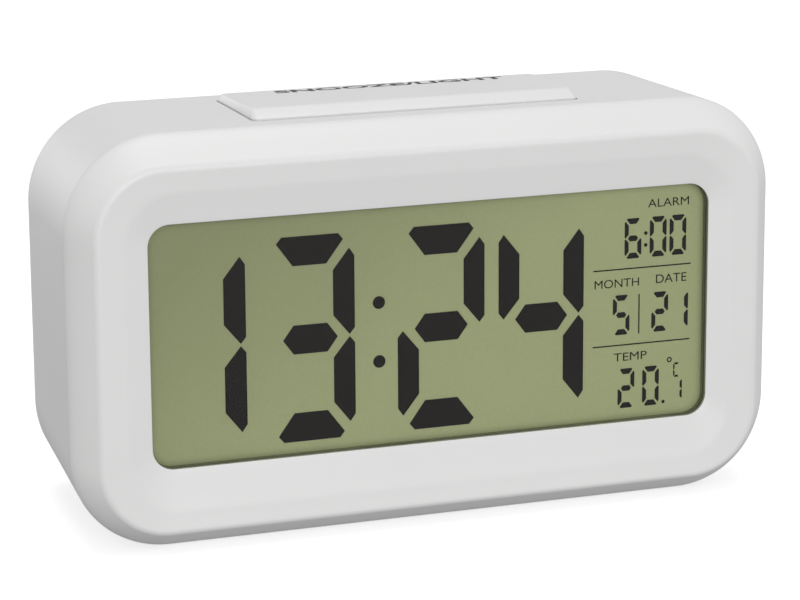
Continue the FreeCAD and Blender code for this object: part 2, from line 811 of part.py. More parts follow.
def snooze_plungers():
    """Their plungers, which travel with the bar."""
    return Part.makeCompound([tact_plunger(at, Vector(0, 0, 1)) for at in snooze_switch_places()])


def snooze_board():
    """Small level board that hangs from two bosses."""
    half_depth = snooze_board_depth / 2
    board = plate_z(-snooze_board_half, snooze_board_half, snooze_middle - half_depth,
                    snooze_middle + half_depth, 1.0, snooze_board_top - board_thickness, snooze_board_top)
    holes = []
    for x in (-snooze_boss_x, snooze_boss_x):
        holes.append(rod_z(small_screw + plunger_fit, snooze_board_top - 3, snooze_board_top + 1, x,
                           snooze_middle))
    return board.cut(holes)


def snooze_board_screws():
    """Two screws from below."""
    pieces = []
    for x in (-snooze_boss_x, snooze_boss_x):
        at = Vector(x, snooze_middle, snooze_board_top - board_thickness)
        pieces.append(screw(small_screw, small_screw_head, small_screw_length - 0.3, at, Vector(0, 0, 1)))
    return Part.makeCompound(pieces)


# ---------------------------------------------------------------- rear keys
def key_x(index):
    """Centre of a key in the row."""
    return first_key_x + key_pitch * index


def key_button(index):
    """Round key with a rounded rim and a flange inside the case."""
    x = key_x(index)
    cap = rod_y(key_radius, flange_back - 0.2, case_depth + key_proud, x, key_z)
    outer_edge = max(cap.Edges, key=lambda edge: edge.BoundBox.YMax + edge.BoundBox.YMin)
    cap = cap.makeFillet(0.5, [outer_edge])
    flange = rod_y(key_flange, flange_front, flange_back, x, key_z)
    return cap.fuse(flange).removeSplitter()


def key_switch_place(index):
    """Point on the key board behind a key."""
    return Vector(key_x(index), key_board_back, key_z)


def key_plunger(index):
    """Plunger of one key's switch, which travels with the key."""
    return tact_plunger(key_switch_place(index), Vector(0, 1, 0))


def key_switches():
    """The four switch bodies on the key board."""
    places = [key_switch_place(index) for index in range(len(key_names))]
    return Part.makeCompound([tact_switch(at, Vector(0, 1, 0)) for at in places])


def key_board():
    """Upright board behind the keys."""
    left = first_key_x - key_pitch / 2
    right = last_boss_x + board_edge + 1
    board = plate_y(left, right, key_z - key_board_half_height, key_z + key_board_half_height, 1.0,
                    key_board_front, key_board_back)
    holes = []
    for x in key_boss_xs:
        holes.append(rod_y(small_screw + plunger_fit, key_board_front - 1, key_board_back + 1, x, key_z))
    return board.cut(holes)


def key_board_screws():
    """Three screws that hold the key board."""
    pieces = []
    for x in key_boss_xs:
        at = Vector(x, key_board_front, key_z)
        pieces.append(screw(small_screw, small_screw_head, small_screw_length - 0.3, at, Vector(0, 1, 0)))
    return Part.makeCompound(pieces)


def alarm_slider():
    """Ribbed knob that slides in a slot, with a flange inside the case."""
    low = key_z - slider_height / 2
    high = key_z + slider_height / 2
    left = slider_x - slider_length / 2
    knob = plate_y(left, left + slider_length, low, high, 0.5, flange_back - 0.2,
                   case_depth + key_proud + 0.4)
    grooves = []
    for index in range(3):
        x = slider_x + 1.3 * (index - 1)
        grooves.append(box(x - 0.25, x + 0.25, case_depth + key_proud, case_depth + 3, low - 1, high + 1))
    flange = plate_y(slider_x - slider_flange_half, slider_x + slider_flange_half,
                     key_z - slider_flange_height / 2, key_z + slider_flange_height / 2, 0.8,
                     flange_front, flange_back)
    return knob.cut(grooves).fuse(flange).removeSplitter()


def slide_switch_body():
    """Metal-cased switch on the key board, slotted for its lever."""
    middle = slider_x + slider_travel / 2
    half = slide_switch_length / 2
    body = box(middle - half, middle + half, key_board_back, key_board_back + slide_switch_depth,
               key_z - slide_switch_height / 2, key_z + slide_switch_height / 2)
    slot_half = (lever_size + slider_travel) / 2 + plunger_fit
    slot = box(middle - slot_half, middle + slot_half, key_board_back + switch_floor, key_board_back + 10,
               key_z - lever_size / 2 - plunger_fit, key_z + lever_size / 2 + plunger_fit)
    return body.cut(slot)


def slide_switch_lever():
    """Lever of the slide switch, which travels with the knob."""
    half = lever_size / 2
    return box(slider_x - half, slider_x + half, key_board_back + 1.4, flange_front, key_z - half,
               key_z + half)


# ---------------------------------------------------------------- battery compartment
def battery_door():
    """Cover with a round hinge edge, two pins and a latch tab."""
    plate = box(-door_half, door_half, door_inner_y, case_depth, hinge_z, door_high)
    hinge_edge = rod_x(door_thickness / 2, -door_half, door_half, hinge_y, hinge_z)
    pins = rod_x(door_pin, -door_half - door_pin_length, door_half + door_pin_length, hinge_y, hinge_z)
    tab = box(-latch_half, latch_half, door_inner_y - latch_reach, door_inner_y + 0.5, box_high - 1.4,
              box_high - 0.4)
    grips = []
    for index in range(4):
        z = door_high - 3.2 - 1.5 * index
        grips.append(box(-5, 5, case_depth - 0.35, case_depth + 1, z - 0.35, z + 0.35))
    return plate.fuse([hinge_edge, pins, tab]).cut(grips).removeSplitter()


def cell_z(index):
    """Height of a battery cell's axis."""
    return box_rise + cell_gap + cell_radius + index * (2 * cell_radius + cell_gap)


def battery_cells():
    """Two cells side by side, facing opposite ways."""
    pieces = []
    for index in range(cell_count):
        z = cell_z(index)
        left = -box_half + (contact_space if index else spring_space)
        can = rod_x(cell_radius, left + 0.9 * index, left + 0.9 * index + cell_length - 0.9, cell_y, z)
        tip_x = left if index else left + cell_length - 0.9
        tip = rod_x(1.9, tip_x, tip_x + 0.9, cell_y, z)
        pieces.append(can.fuse(tip))
    return Part.makeCompound(pieces)


def contact_plate(x, low, high):
    """Thin contact plate on an end wall of the compartment."""
    return box(x, x + contact_thickness, cell_y - 4.2, cell_y + 4.2, low, high)


def coil(x, z, direction):
    """Coil spring that presses on the flat end of a cell."""
    length = spring_space - contact_thickness - 0.3
    pitch = (length - 2 * spring_wire) / spring_turns
    helix = Part.makeHelix(pitch, pitch * spring_turns, spring_radius)
    profile = Part.Wire(Part.makeCircle(spring_wire, Vector(spring_radius, 0, 0), Vector(0, 1, 0)))
    spring = Part.Wire(helix).makePipeShell([profile], True, True)
    start = x + direction * (spring_wire - 0.08)
    spring.Placement = FreeCAD.Placement(
        Vector(start, cell_y, z), FreeCAD.Rotation(Vector(0, 0, 1), Vector(direction, 0, 0)))
    return spring


def battery_bridge():
    """Contact at the left: spring for the lower cell, flat for the upper one."""
    plate = contact_plate(-box_half + 0.05, cell_z(0) - 4.2, cell_z(cell_count - 1) + 4.2)
    return plate.fuse(coil(-box_half + 0.05 + contact_thickness, cell_z(0), 1))


def battery_spring_contact():
    """Contact at the right for the upper cell's flat end."""
    z = cell_z(cell_count - 1)
    x = box_half - 0.05 - contact_thickness
    return contact_plate(x, z - 4.2, z + 4.2).fuse(coil(x, z, -1))


def battery_flat_contact():
    """Contact at the right for the lower cell's tip."""
    z = cell_z(0)
    x = box_half - 0.05 - contact_thickness
    plate = contact_plate(x, z - 4.2, z + 4.2)
    return plate.fuse(rod_x(2.2, x - 0.5, x, cell_y, z))


# ---------------------------------------------------------------- sounder, sensor and wires
def sounder_ring():
    """Plastic ring that holds the sounder against the back wall."""
    outer_radius = sounder_radius + slide_fit + sounder_ring_wall
    ring = rod_y(outer_radius, sounder_ring_y, inner_back_y - stack_gap, sounder_x, sounder_rise)
    pocket = rod_y(sounder_radius + slide_fit, sounder_ring_y - 1, sounder_ring_y + 1.0, sounder_x,
                   sounder_rise)
    bore = rod_y(sounder_radius - 0.9, sounder_ring_y - 1, case_depth, sounder_x, sounder_rise)
    return ring.cut([pocket, bore])


def sounder_disc():
    """Thin brass disc."""
    back = sounder_ring_y + 1.0 - stack_gap
    return rod_y(sounder_radius, back - disc_thickness, back, sounder_x, sounder_rise)


def sounder_ceramic():
    """Ceramic layer on the front of the disc."""
    back = sounder_ring_y + 1.0 - stack_gap - disc_thickness
    return rod_y(ceramic_radius, back - ceramic_thickness, back, sounder_x, sounder_rise)


def sounder_leads():
    """Two thin leads from the sounder to the main board."""
    start_y = sounder_ring_y + 1.0 - stack_gap - disc_thickness - ceramic_thickness
    end_x = sounder_x + 6
    pieces = []
    for side in (-0.5, 0.5):
        z = sounder_rise + side * sounder_lead_gap
        pieces.append(cord([
            (sounder_x, start_y, z),
            (sounder_x, start_y - 9, z),
            (end_x, board_back_y + 9, z + 8),
            (end_x, board_back_y, z + 8),
        ], lead_radius))
    return Part.makeCompound(pieces)


def battery_lead(z, end_x, end_z):
    """Lead from a contact at the right of the compartment to the main board."""
    x = box_half + box_wall + lead_radius + 0.3
    y = cell_y - 2
    return cord([
        (x, y, z),
        (x, box_floor_y - 5, z),
        (end_x, board_back_y + 7, end_z),
        (end_x, board_back_y, end_z),
    ], lead_radius)


def battery_lead_negative():
    """Black lead, from the spring contact."""
    return battery_lead(cell_z(cell_count - 1), box_half + 10, cell_z(cell_count - 1) + 2)


def battery_lead_positive():
    """Red lead, from the flat contact."""
    return battery_lead(cell_z(0), box_half + 10, cell_z(0) - 2)


def snooze_leads():
    """Two leads from the snooze board down to the main board."""
    start_z = snooze_board_top - board_thickness
    pieces = []
    for x in (6.0, 9.0):
        pieces.append(cord([
            (x, snooze_middle, start_z),
            (x, snooze_middle, start_z - 9),
            (x, board_back_y, start_z - 9),
        ], lead_radius))
    return Part.makeCompound(pieces)


def ribbon_connector():
    """Socket on the main board for the key board's ribbon."""
    half = ribbon_width / 2 + socket_end
    return box(socket_x - half, socket_x + half, board_back_y, board_back_y + socket_height,
               key_z - socket_drop - socket_width / 2, key_z - socket_drop + socket_width / 2)


def key_ribbon():
    """Flat ribbon from the key board to its socket, with a gentle sag."""
    left = socket_x - ribbon_width / 2
    socket_z = key_z - socket_drop
    front = board_back_y + socket_height
    back = key_board_front
    middle = (front + back) / 2
    half = ribbon_thickness / 2
    lower = Part.Arc(Vector(left, front, socket_z - half), Vector(left, middle, socket_z - half - ribbon_sag),
                     Vector(left, back, socket_z - half))
    upper = Part.Arc(Vector(left, back, socket_z + half), Vector(left, middle, socket_z + half - ribbon_sag),
                     Vector(left, front, socket_z + half))
    edges = [
        lower.toShape(),
        Part.LineSegment(lower.EndPoint, upper.StartPoint).toShape(),
        upper.toShape(),
        Part.LineSegment(upper.EndPoint, lower.StartPoint).toShape(),
    ]
    return Part.Face(Part.Wire(edges)).extrude(Vector(ribbon_width, 0, 0))


def temperature_sensor():
    """Bead on two long legs behind the vents."""
    end = board_back_y + sensor_stand_off
    bead = Part.makeSphere(sensor_radius, Vector(sensor_x, end, sounder_rise))
    legs = []
    for side in (-0.6, 0.6):
        legs.append(rod_y(0.25, board_back_y, end, sensor_x + side, sounder_rise))
    return bead.fuse(legs)


# ---------------------------------------------------------------- assembly
def build_pieces():
    """Every piece by name, square to the clock's face."""
    makers = (
        front_bezel, rear_case, case_screws, display_window, window_gasket, lcd_front_glass,
        lcd_rear_glass, zebra_strip, light_guide, reflector_sheet, backlight_leds, led_strip,
        lcd_frame, main_board, board_screws, chip_blob, clock_crystal, board_capacitors,
        board_resistors, snooze_button, snooze_plungers, snooze_switches, snooze_board,
        snooze_board_screws, key_switches, key_board, key_board_screws, alarm_slider,
        slide_switch_body, slide_switch_lever, battery_door, battery_cells, battery_bridge,
        battery_spring_contact, battery_flat_contact, battery_lead_negative, battery_lead_positive,
        sounder_ring, sounder_disc, sounder_ceramic, sounder_leads, snooze_leads, ribbon_connector,
        key_ribbon, temperature_sensor,
    )
    pieces = {maker.__name__: maker() for maker in makers}
    pieces["front_polariser"] = polariser(front_polariser_y)
    pieces["rear_polariser"] = polariser(rear_polariser_y)
    for index, name in enumerate(key_names):
        pieces[name + "_button"] = key_button(index)
        pieces[name + "_plunger"] = key_plunger(index)
    return pieces


def leaned(shape):
    """A copy that leans back about the X axis."""
    return shape.rotated(Vector(0, 0, 0), Vector(1, 0, 0), -lean)


def origin_of(pieces):
    """Middle of the bottom of the leaned clock's box."""
    boxes = [piece.optimalBoundingBox(False) for piece in pieces]
    low = [min(getattr(b, side) for b in boxes) for side in ("XMin", "YMin", "ZMin")]
    high = [max(getattr(b, side) for b in boxes) for side in ("XMax", "YMax", "ZMax")]
    return Vector((low[0] + high[0]) / 2, (low[1] + high[1]) / 2, low[2])


def main():
    os.makedirs("parts", exist_ok=True)
    pieces = {name: leaned(shape) for name, shape in build_pieces().items()}
    outer_names = ["front_bezel", "rear_case", "snooze_button", "alarm_slider", "battery_door"]
    outer_names += [name + "_button" for name in key_names]
    origin = origin_of([pieces[name] for name in outer_names])
    for name, shape in pieces.items():
        shape.translate(origin * -1)
        shape.exportStep(os.path.join("parts", name + ".step"))
    return origin


origin = main()
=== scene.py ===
import json
import math

import bmesh
import bpy
import numpy as np
from bpy.props import FloatProperty, FloatVectorProperty, PointerProperty, StringProperty
from mathutils import Matrix, Vector


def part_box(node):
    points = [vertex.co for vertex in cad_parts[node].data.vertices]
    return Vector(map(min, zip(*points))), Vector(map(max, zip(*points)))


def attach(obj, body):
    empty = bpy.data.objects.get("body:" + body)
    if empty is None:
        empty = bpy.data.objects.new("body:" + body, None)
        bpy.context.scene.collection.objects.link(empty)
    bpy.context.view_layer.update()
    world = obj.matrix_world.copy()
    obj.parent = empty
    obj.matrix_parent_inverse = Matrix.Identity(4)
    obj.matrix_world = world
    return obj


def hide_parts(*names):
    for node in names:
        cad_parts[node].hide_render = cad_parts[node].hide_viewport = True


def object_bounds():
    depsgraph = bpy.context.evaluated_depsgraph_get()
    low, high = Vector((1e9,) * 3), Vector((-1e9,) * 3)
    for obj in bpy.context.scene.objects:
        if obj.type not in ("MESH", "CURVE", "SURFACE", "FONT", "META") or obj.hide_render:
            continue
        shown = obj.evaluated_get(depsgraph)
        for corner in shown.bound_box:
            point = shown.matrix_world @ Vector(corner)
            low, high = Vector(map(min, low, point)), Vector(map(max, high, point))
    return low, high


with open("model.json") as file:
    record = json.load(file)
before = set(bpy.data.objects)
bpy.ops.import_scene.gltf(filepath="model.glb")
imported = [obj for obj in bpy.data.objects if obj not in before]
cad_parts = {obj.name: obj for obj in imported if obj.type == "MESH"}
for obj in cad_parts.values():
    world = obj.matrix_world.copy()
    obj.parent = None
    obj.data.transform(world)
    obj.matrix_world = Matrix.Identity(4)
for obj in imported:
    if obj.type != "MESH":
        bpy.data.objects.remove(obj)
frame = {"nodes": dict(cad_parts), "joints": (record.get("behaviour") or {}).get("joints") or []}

# Looks of a table alarm clock. Pieces are drawn square to the clock's own face, in metres: X to
# the right, Y back from the ridge of the bezel, Z up from the bottom of the rim. on_clock() then
# leans them back and shifts them to where the frame's own joints say the clock is.

bl_info = {
    "name": "Table alarm clock looks",
    "version": (1, 0, 0),
    "blender": (4, 5, 0),
    "location": "View3D > Sidebar > Clock",
    "description": "Bezel, snooze bar, liquid-crystal face, finishes and studio of a table alarm clock",
    "category": "Object",
}

MM = 0.001
CAD_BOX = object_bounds()
JOINTS = {joint["name"]: joint for joint in frame["joints"]}
PRESS = JOINTS["snooze_press"]["axis"]
LEAN = math.atan2(-PRESS[1], -PRESS[2])
DOOR_PIN = JOINTS["door_swing"]["pos_m"]
BACK = 45.0 * MM           # back face behind the ridge
FIGURE_HALF = 0.4455       # half the width of a figure, as a share of half its height
LIGHT_REACH = 1.6          # lights from the middle of the clock
GREY_RAMP = ((0.3, (0, 0, 0, 1)), (0.7, (1, 1, 1, 1)))


def colour(name, text, default):
    """A colour the user may change, linear red, green, blue and alpha."""
    return FloatVectorProperty(name=name, description=text, default=default, subtype="COLOR", size=4,
                               min=0.0, max=1.0)


def length(name, text, default):
    """A length the user may change, in metres."""
    return FloatProperty(name=name, description=text, default=default, unit="LENGTH", precision=5)


class ClockCase(bpy.types.PropertyGroup):
    width: length("Width", "Rim of the case from side to side", 135.0 * MM)
    height: length("Height", "Rim of the case from bottom to top", 75.0 * MM)
    corner: length("Corner", "Corner radius of the rim", 17.7 * MM)
    seam: length("Seam", "Depth of the joint between bezel and rear case", 6.3 * MM)
    pin_depth: length("Pin depth", "Door pins behind the ridge", 44.025 * MM)
    pin_height: length("Pin height", "Door pins above the bottom of the rim", 10.975 * MM)
    front_tone: colour("Front plastic", "White of the bezel", (0.846, 0.846, 0.842, 1))
    rear_tone: colour("Rear plastic", "White of the rear case", (0.835, 0.835, 0.832, 1))
    door_tone: colour("Door plastic", "White of the battery door", (0.815, 0.815, 0.812, 1))
    key_tone: colour("Key plastic", "Pale grey of the rear keys", (0.60, 0.60, 0.60, 1))


class ClockBezel(bpy.types.PropertyGroup):
    ridge_side: length("Ridge, side", "Rim to the ridge at the sides", 4.4 * MM)
    ridge_top: length("Ridge, top", "Rim to the ridge at the top", 5.3 * MM)
    ridge_bottom: length("Ridge, bottom", "Rim to the ridge at the bottom", 3.7 * MM)
    ridge_corner: length("Ridge corner", "Corner radius of the ridge", 12.5 * MM)
    band_side: length("Band, side", "Flat band at the sides", 5.2 * MM)
    band_top: length("Band, top", "Flat band at the top", 4.5 * MM)
    band_bottom: length("Band, bottom", "Flat band at the bottom", 4.0 * MM)
    band_corner: length("Band corner", "Inner corner radius of the flat band", 9.3 * MM)
    band_depth: length("Band depth", "Fall of the flat band towards the display", 0.3 * MM)
    slope_side: length("Slope, side", "Inner slope at the sides", 4.3 * MM)
    slope_top: length("Slope, top", "Inner slope at the top", 5.7 * MM)
    slope_bottom: length("Slope, bottom", "Inner slope at the bottom", 7.5 * MM)
    opening_corner: length("Opening corner", "Corner radius of the display opening", 4.0 * MM)
    opening_depth: length("Opening depth", "Edge of the opening behind the ridge", 1.3 * MM)
    lip: length("Lip", "Thickness of the edge round the opening", 0.7 * MM)
    wall: length("Wall", "Wall of the bezel", 2.0 * MM)
    tongue: length("Tongue", "Reach of the bezel into the rear case", 2.0 * MM)


class ClockSnooze(bpy.types.PropertyGroup):
    half: length("Half length", "Half the length of the bar", 31.0 * MM)
    front: length("Front", "Foot of the front face behind the ridge", 10.5 * MM)
    back: length("Back", "Back of the bar behind the ridge", 34.0 * MM)
    rise: length("Rise", "Front crest above the case", 1.85 * MM)
    rear_rise: length("Rear rise", "Back edge above the case", 1.45 * MM)
    face: length("Front face", "Run of the sloping front face", 3.0 * MM)
    end_run: length("End run", "Run of the sloping ends", 0.3 * MM)
    corner: length("Corner", "Corner radius seen from above", 1.0 * MM)
    wall: length("Wall", "Wall of the bar", 1.5 * MM)
    flange_reach: length("Flange reach", "Flange beyond the bar", 1.6 * MM)
    flange_top: length("Flange top", "Top of the flange below the case top", 2.4 * MM)
    flange: length("Flange", "Thickness of the flange", 1.2 * MM)
    stem: length("Stem", "Radius of the two stems", 2.0 * MM)
    stem_x: length("Stem place", "Stems from the middle", 18.0 * MM)
    word_length: length("Word length", "Length of the printed words", 45.2 * MM)
    word_height: length("Word height", "Height of the printed words", 2.8 * MM)
    word_back: length("Word place", "Middle of the words behind the ridge", 29.8 * MM)
    word_right: length("Word shift", "Middle of the words right of the middle", 1.4 * MM)
    words: StringProperty(name="Words", description="Words on the bar", default="SNOOZE/LIGHT")
    tone: colour("Bar plastic", "White of the bar", (0.835, 0.835, 0.832, 1))
    ink: colour("Bar print", "Print on the bar", (0.006, 0.006, 0.006, 1))


class ClockDisplay(bpy.types.PropertyGroup):
    plane: length("Plane", "Front of the liquid-crystal face behind the ridge", 3.31 * MM)
    # Width of the painted shadow round the edge of the face.
    shadow_band: length("Border", "Width of the soft dark border of the face", 1.4 * MM)
    mark: length("Mark", "Thickness of a segment", 0.012 * MM)
    middle: length("Middle", "Middle of the large figures above the rim", 36.24 * MM)
    figure: length("Figure", "Half the height of a large figure", 18.9 * MM)
    small_figure: length("Small figure", "Half the height of a small figure", 3.8 * MM)
    alarm_words: StringProperty(name="Alarm", description="Word over the alarm time", default="ALARM")
    paper: colour("Face", "Olive of the face", (0.398, 0.424, 0.222, 1))
    # Painted light: a lighter copy of the olive for the face's lit side.
    paper_light: colour("Face, lit side", "Olive at the right side", (0.534, 0.574, 0.300, 1))
    ink: colour("Segments", "Colour of a segment that is on", (0.0165, 0.0130, 0.0122, 1))


class ClockStudio(bpy.types.PropertyGroup):
    yaw: FloatProperty(name="Yaw", description="Camera turned to the left of the face",
                       default=math.radians(19.62), subtype="ANGLE")
    pitch: FloatProperty(name="Pitch", description="Camera above the face", default=math.radians(13.48),
                         subtype="ANGLE")
    roll: FloatProperty(name="Roll", description="Camera rolled", default=math.radians(-0.37),
                        subtype="ANGLE")
    distance: length("Distance", "Camera from the middle of the clock", 570.74 * MM)
    aside: length("Aside", "Camera moved to the left", 0.446 * MM)
    above: length("Above", "Camera moved up", 0.587 * MM)
    lens: FloatProperty(name="Lens", description="Focal length in millimetres on a 36 mm sensor",
                        default=137.83)
    floor_half: length("Floor", "Half the side of the floor", 6.0)
    front_power: FloatProperty(name="Front light", description="Power in watts", default=7.9)
    top_power: FloatProperty(name="Top light", description="Power in watts", default=7.4)
    rear_power: FloatProperty(name="Rear light", description="Power in watts", default=3.2)
    fill: FloatProperty(name="Fill", description="Strength of the light all round", default=1.0)
    floor_glow: FloatProperty(name="Floor lift", description="Light added to the floor", default=0.55)
    floor_tone: colour("Floor", "White of the floor", (0.82, 0.82, 0.82, 1))


# ---------------------------------------------------------------- places and meshes
def on_clock(points):
    """Leans points (…, 3) back about X and shifts them so that the door pins meet the frame's hinge.

    x' = x, y' = y cos a + z sin a, z' = z cos a - y sin a, less the same of the pins, plus the hinge.
    """
    case = bpy.context.scene.clock_case
    points = np.asarray(points, dtype=float)
    pin = (case.pin_depth, case.pin_height)
    c, s = math.cos(LEAN), math.sin(LEAN)
    shift_y = DOOR_PIN[1] - (pin[0] * c + pin[1] * s)
    shift_z = DOOR_PIN[2] - (pin[1] * c - pin[0] * s)
    x, y, z = points[..., 0], points[..., 1], points[..., 2]
    return np.stack([x, y * c + z * s + shift_y, z * c - y * s + shift_z], axis=-1)


def outline(half, low, high, radius, arc=24, run=20):
    """Rounded rectangle from x = -half to half, as (n, 2) points, the same n for any size.

    Four quarter circles of the given radius joined by straight runs, each run in even steps.
    """
    centres = [(radius - half, low + radius), (radius - half, high - radius),
               (half - radius, high - radius), (half - radius, low + radius)]
    starts = [270.0, 180.0, 90.0, 0.0]
    corners = []
    for (cx, cz), start in zip(centres, starts):
        turn = np.radians(start - np.linspace(0.0, 90.0, arc))
        corners.append(np.stack([cx + radius * np.cos(turn), cz + radius * np.sin(turn)], axis=1))
    rows = []
    for index, corner in enumerate(corners):
        following = corners[(index + 1) % 4]
        step = np.linspace(0.0, 1.0, run + 1)[1:-1, None]
        rows.append(corner)
        rows.append(corner[-1] * (1 - step) + following[0] * step)
    return np.concatenate(rows)


def eased(at, keys, values):
    """Smooth curve through (keys, values): cubic pieces whose slope at a key is the mean of both sides."""
    keys, values = np.asarray(keys, float), np.asarray(values, float)
    slope = np.diff(values) / np.diff(keys)
    ends = np.concatenate([slope[:1], (slope[1:] + slope[:-1]) / 2, slope[-1:]])
    index = np.clip(np.searchsorted(keys, at, side="right") - 1, 0, len(keys) - 2)
    gap = keys[index + 1] - keys[index]
    t = np.clip((at - keys[index]) / gap, 0, 1)
    return ((2 * t**3 - 3 * t**2 + 1) * values[index] + (t**3 - 2 * t**2 + t) * gap * ends[index]
            + (3 * t**2 - 2 * t**3) * values[index + 1] + (t**3 - t**2) * gap * ends[index + 1])


def bend(start, corner, end, count):
    """Quadratic curve from start to end, pulled towards corner: (1-t)^2 a + 2t(1-t) b + t^2 c."""
    t = np.linspace(0.0, 1.0, count)[:, None]
    a, b, c = (np.asarray(p, float) for p in (start, corner, end))
    return (1 - t) ** 2 * a + 2 * t * (1 - t) * b + t**2 * c


def grid_faces(rows, columns, closed_rows):
    """Quads of a grid whose columns close on themselves, and whose rows do too if asked."""
    last = rows if closed_rows else rows - 1
    r, c = np.meshgrid(np.arange(last), np.arange(columns), indexing="ij")
    nr, nc = (r + 1) % rows, (c + 1) % columns
    return np.stack([r * columns + c, r * columns + nc, nr * columns + nc, nr * columns + c],
                    axis=-1).reshape(-1, 4)


def finish_mesh(name, points, faces, body, slot, material, sharp=35.0):
    """Puts points and faces into a new object on the clock, outward and smooth below the sharp angle."""
    mesh = bpy.data.meshes.new(name)
    mesh.from_pydata(on_clock(points).tolist(), [], [list(map(int, face)) for face in faces])
    work = bmesh.new()
    work.from_mesh(mesh)
    bmesh.ops.remove_doubles(work, verts=work.verts, dist=1e-7)
    bmesh.ops.recalc_face_normals(work, faces=work.faces)
    work.to_mesh(mesh)
    work.free()
    mesh.polygons.foreach_set("use_smooth", np.ones(len(mesh.polygons), dtype=bool))
    mesh.set_sharp_from_angle(angle=math.radians(sharp))
    mesh.materials.append(material)
    mesh.update()
    piece = bpy.data.objects.new(name, mesh)
    bpy.context.scene.collection.objects.link(piece)
    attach(piece, body)
    return piece


def joined(parts):
    """One (points, faces) out of several, the face indices moved along."""
    points, faces, start = [], [], 0
    for p, f in parts:
        points.append(np.asarray(p, float).reshape(-1, 3))
        faces.extend([[int(i) + start for i in face] for face in f])
        start += len(points[-1])
    return np.concatenate(points), faces


def capped(rings):
    """Rings (m, n, 3) skinned into a closed solid, with a flat face over the first and last ring."""
    rows, columns = rings.shape[:2]
    faces = grid_faces(rows, columns, False).tolist()
    faces.append(list(range(columns)))
    faces.append([(rows - 1) * columns + i for i in range(columns)])
    return rings.reshape(-1, 3), faces


def prism(flat, near, far):
    """Flat polygon of (x, z) points made a plate from y = near to y = far."""
    flat = np.asarray(flat, float)
    front = np.stack([flat[:, 0], np.full(len(flat), near), flat[:, 1]], axis=1)
    rings = np.stack([front, front + np.array([0.0, far - near, 0.0])])
    return capped(rings)


def disc(x, z, radius, count=32):
    """Circle of even points about (x, z)."""
    turn = np.linspace(0.0, 2 * math.pi, count, endpoint=False)
    return np.stack([x + radius * np.cos(turn), z + radius * np.sin(turn)], axis=1)


def lettering(words, width, height, depth, weight=0.0):
    """Words as a mesh in their own plane, fitted to a width, height and depth about (0, 0, 0)."""
    curve = bpy.data.curves.new("words", "FONT")
    curve.body = words
    curve.align_x = "CENTER"
    curve.align_y = "CENTER"
    curve.extrude = 0.5
    curve.offset = weight
    curve.resolution_u = 6
    holder = bpy.data.objects.new("words", curve)
    bpy.context.scene.collection.objects.link(holder)
    bpy.context.view_layer.update()
    mesh = bpy.data.meshes.new_from_object(holder.evaluated_get(bpy.context.evaluated_depsgraph_get()))
    points = np.empty(len(mesh.vertices) * 3)
    mesh.vertices.foreach_get("co", points)
    points = points.reshape(-1, 3)
    low, high = points.min(axis=0), points.max(axis=0)
    span = high - low
    points = (points - (low + high) / 2) / span * np.array([width, height, depth])
    faces = [list(face.vertices) for face in mesh.polygons]
    bpy.data.objects.remove(holder)
    bpy.data.curves.remove(curve)
    bpy.data.meshes.remove(mesh)
    return points, faces


def facing_front(points, x, y, z):
    """Words in a plane that faces the user: right stays right, up becomes Z, out of the page is -Y."""
    return np.stack([points[:, 0] + x, y - points[:, 2], points[:, 1] + z], axis=1)


def facing_back(points, x, y, z):
    """Words in a plane that faces backwards: right becomes -X, up becomes Z, out of the page is Y."""
    return np.stack([x - points[:, 0], y + points[:, 2], points[:, 1] + z], axis=1)


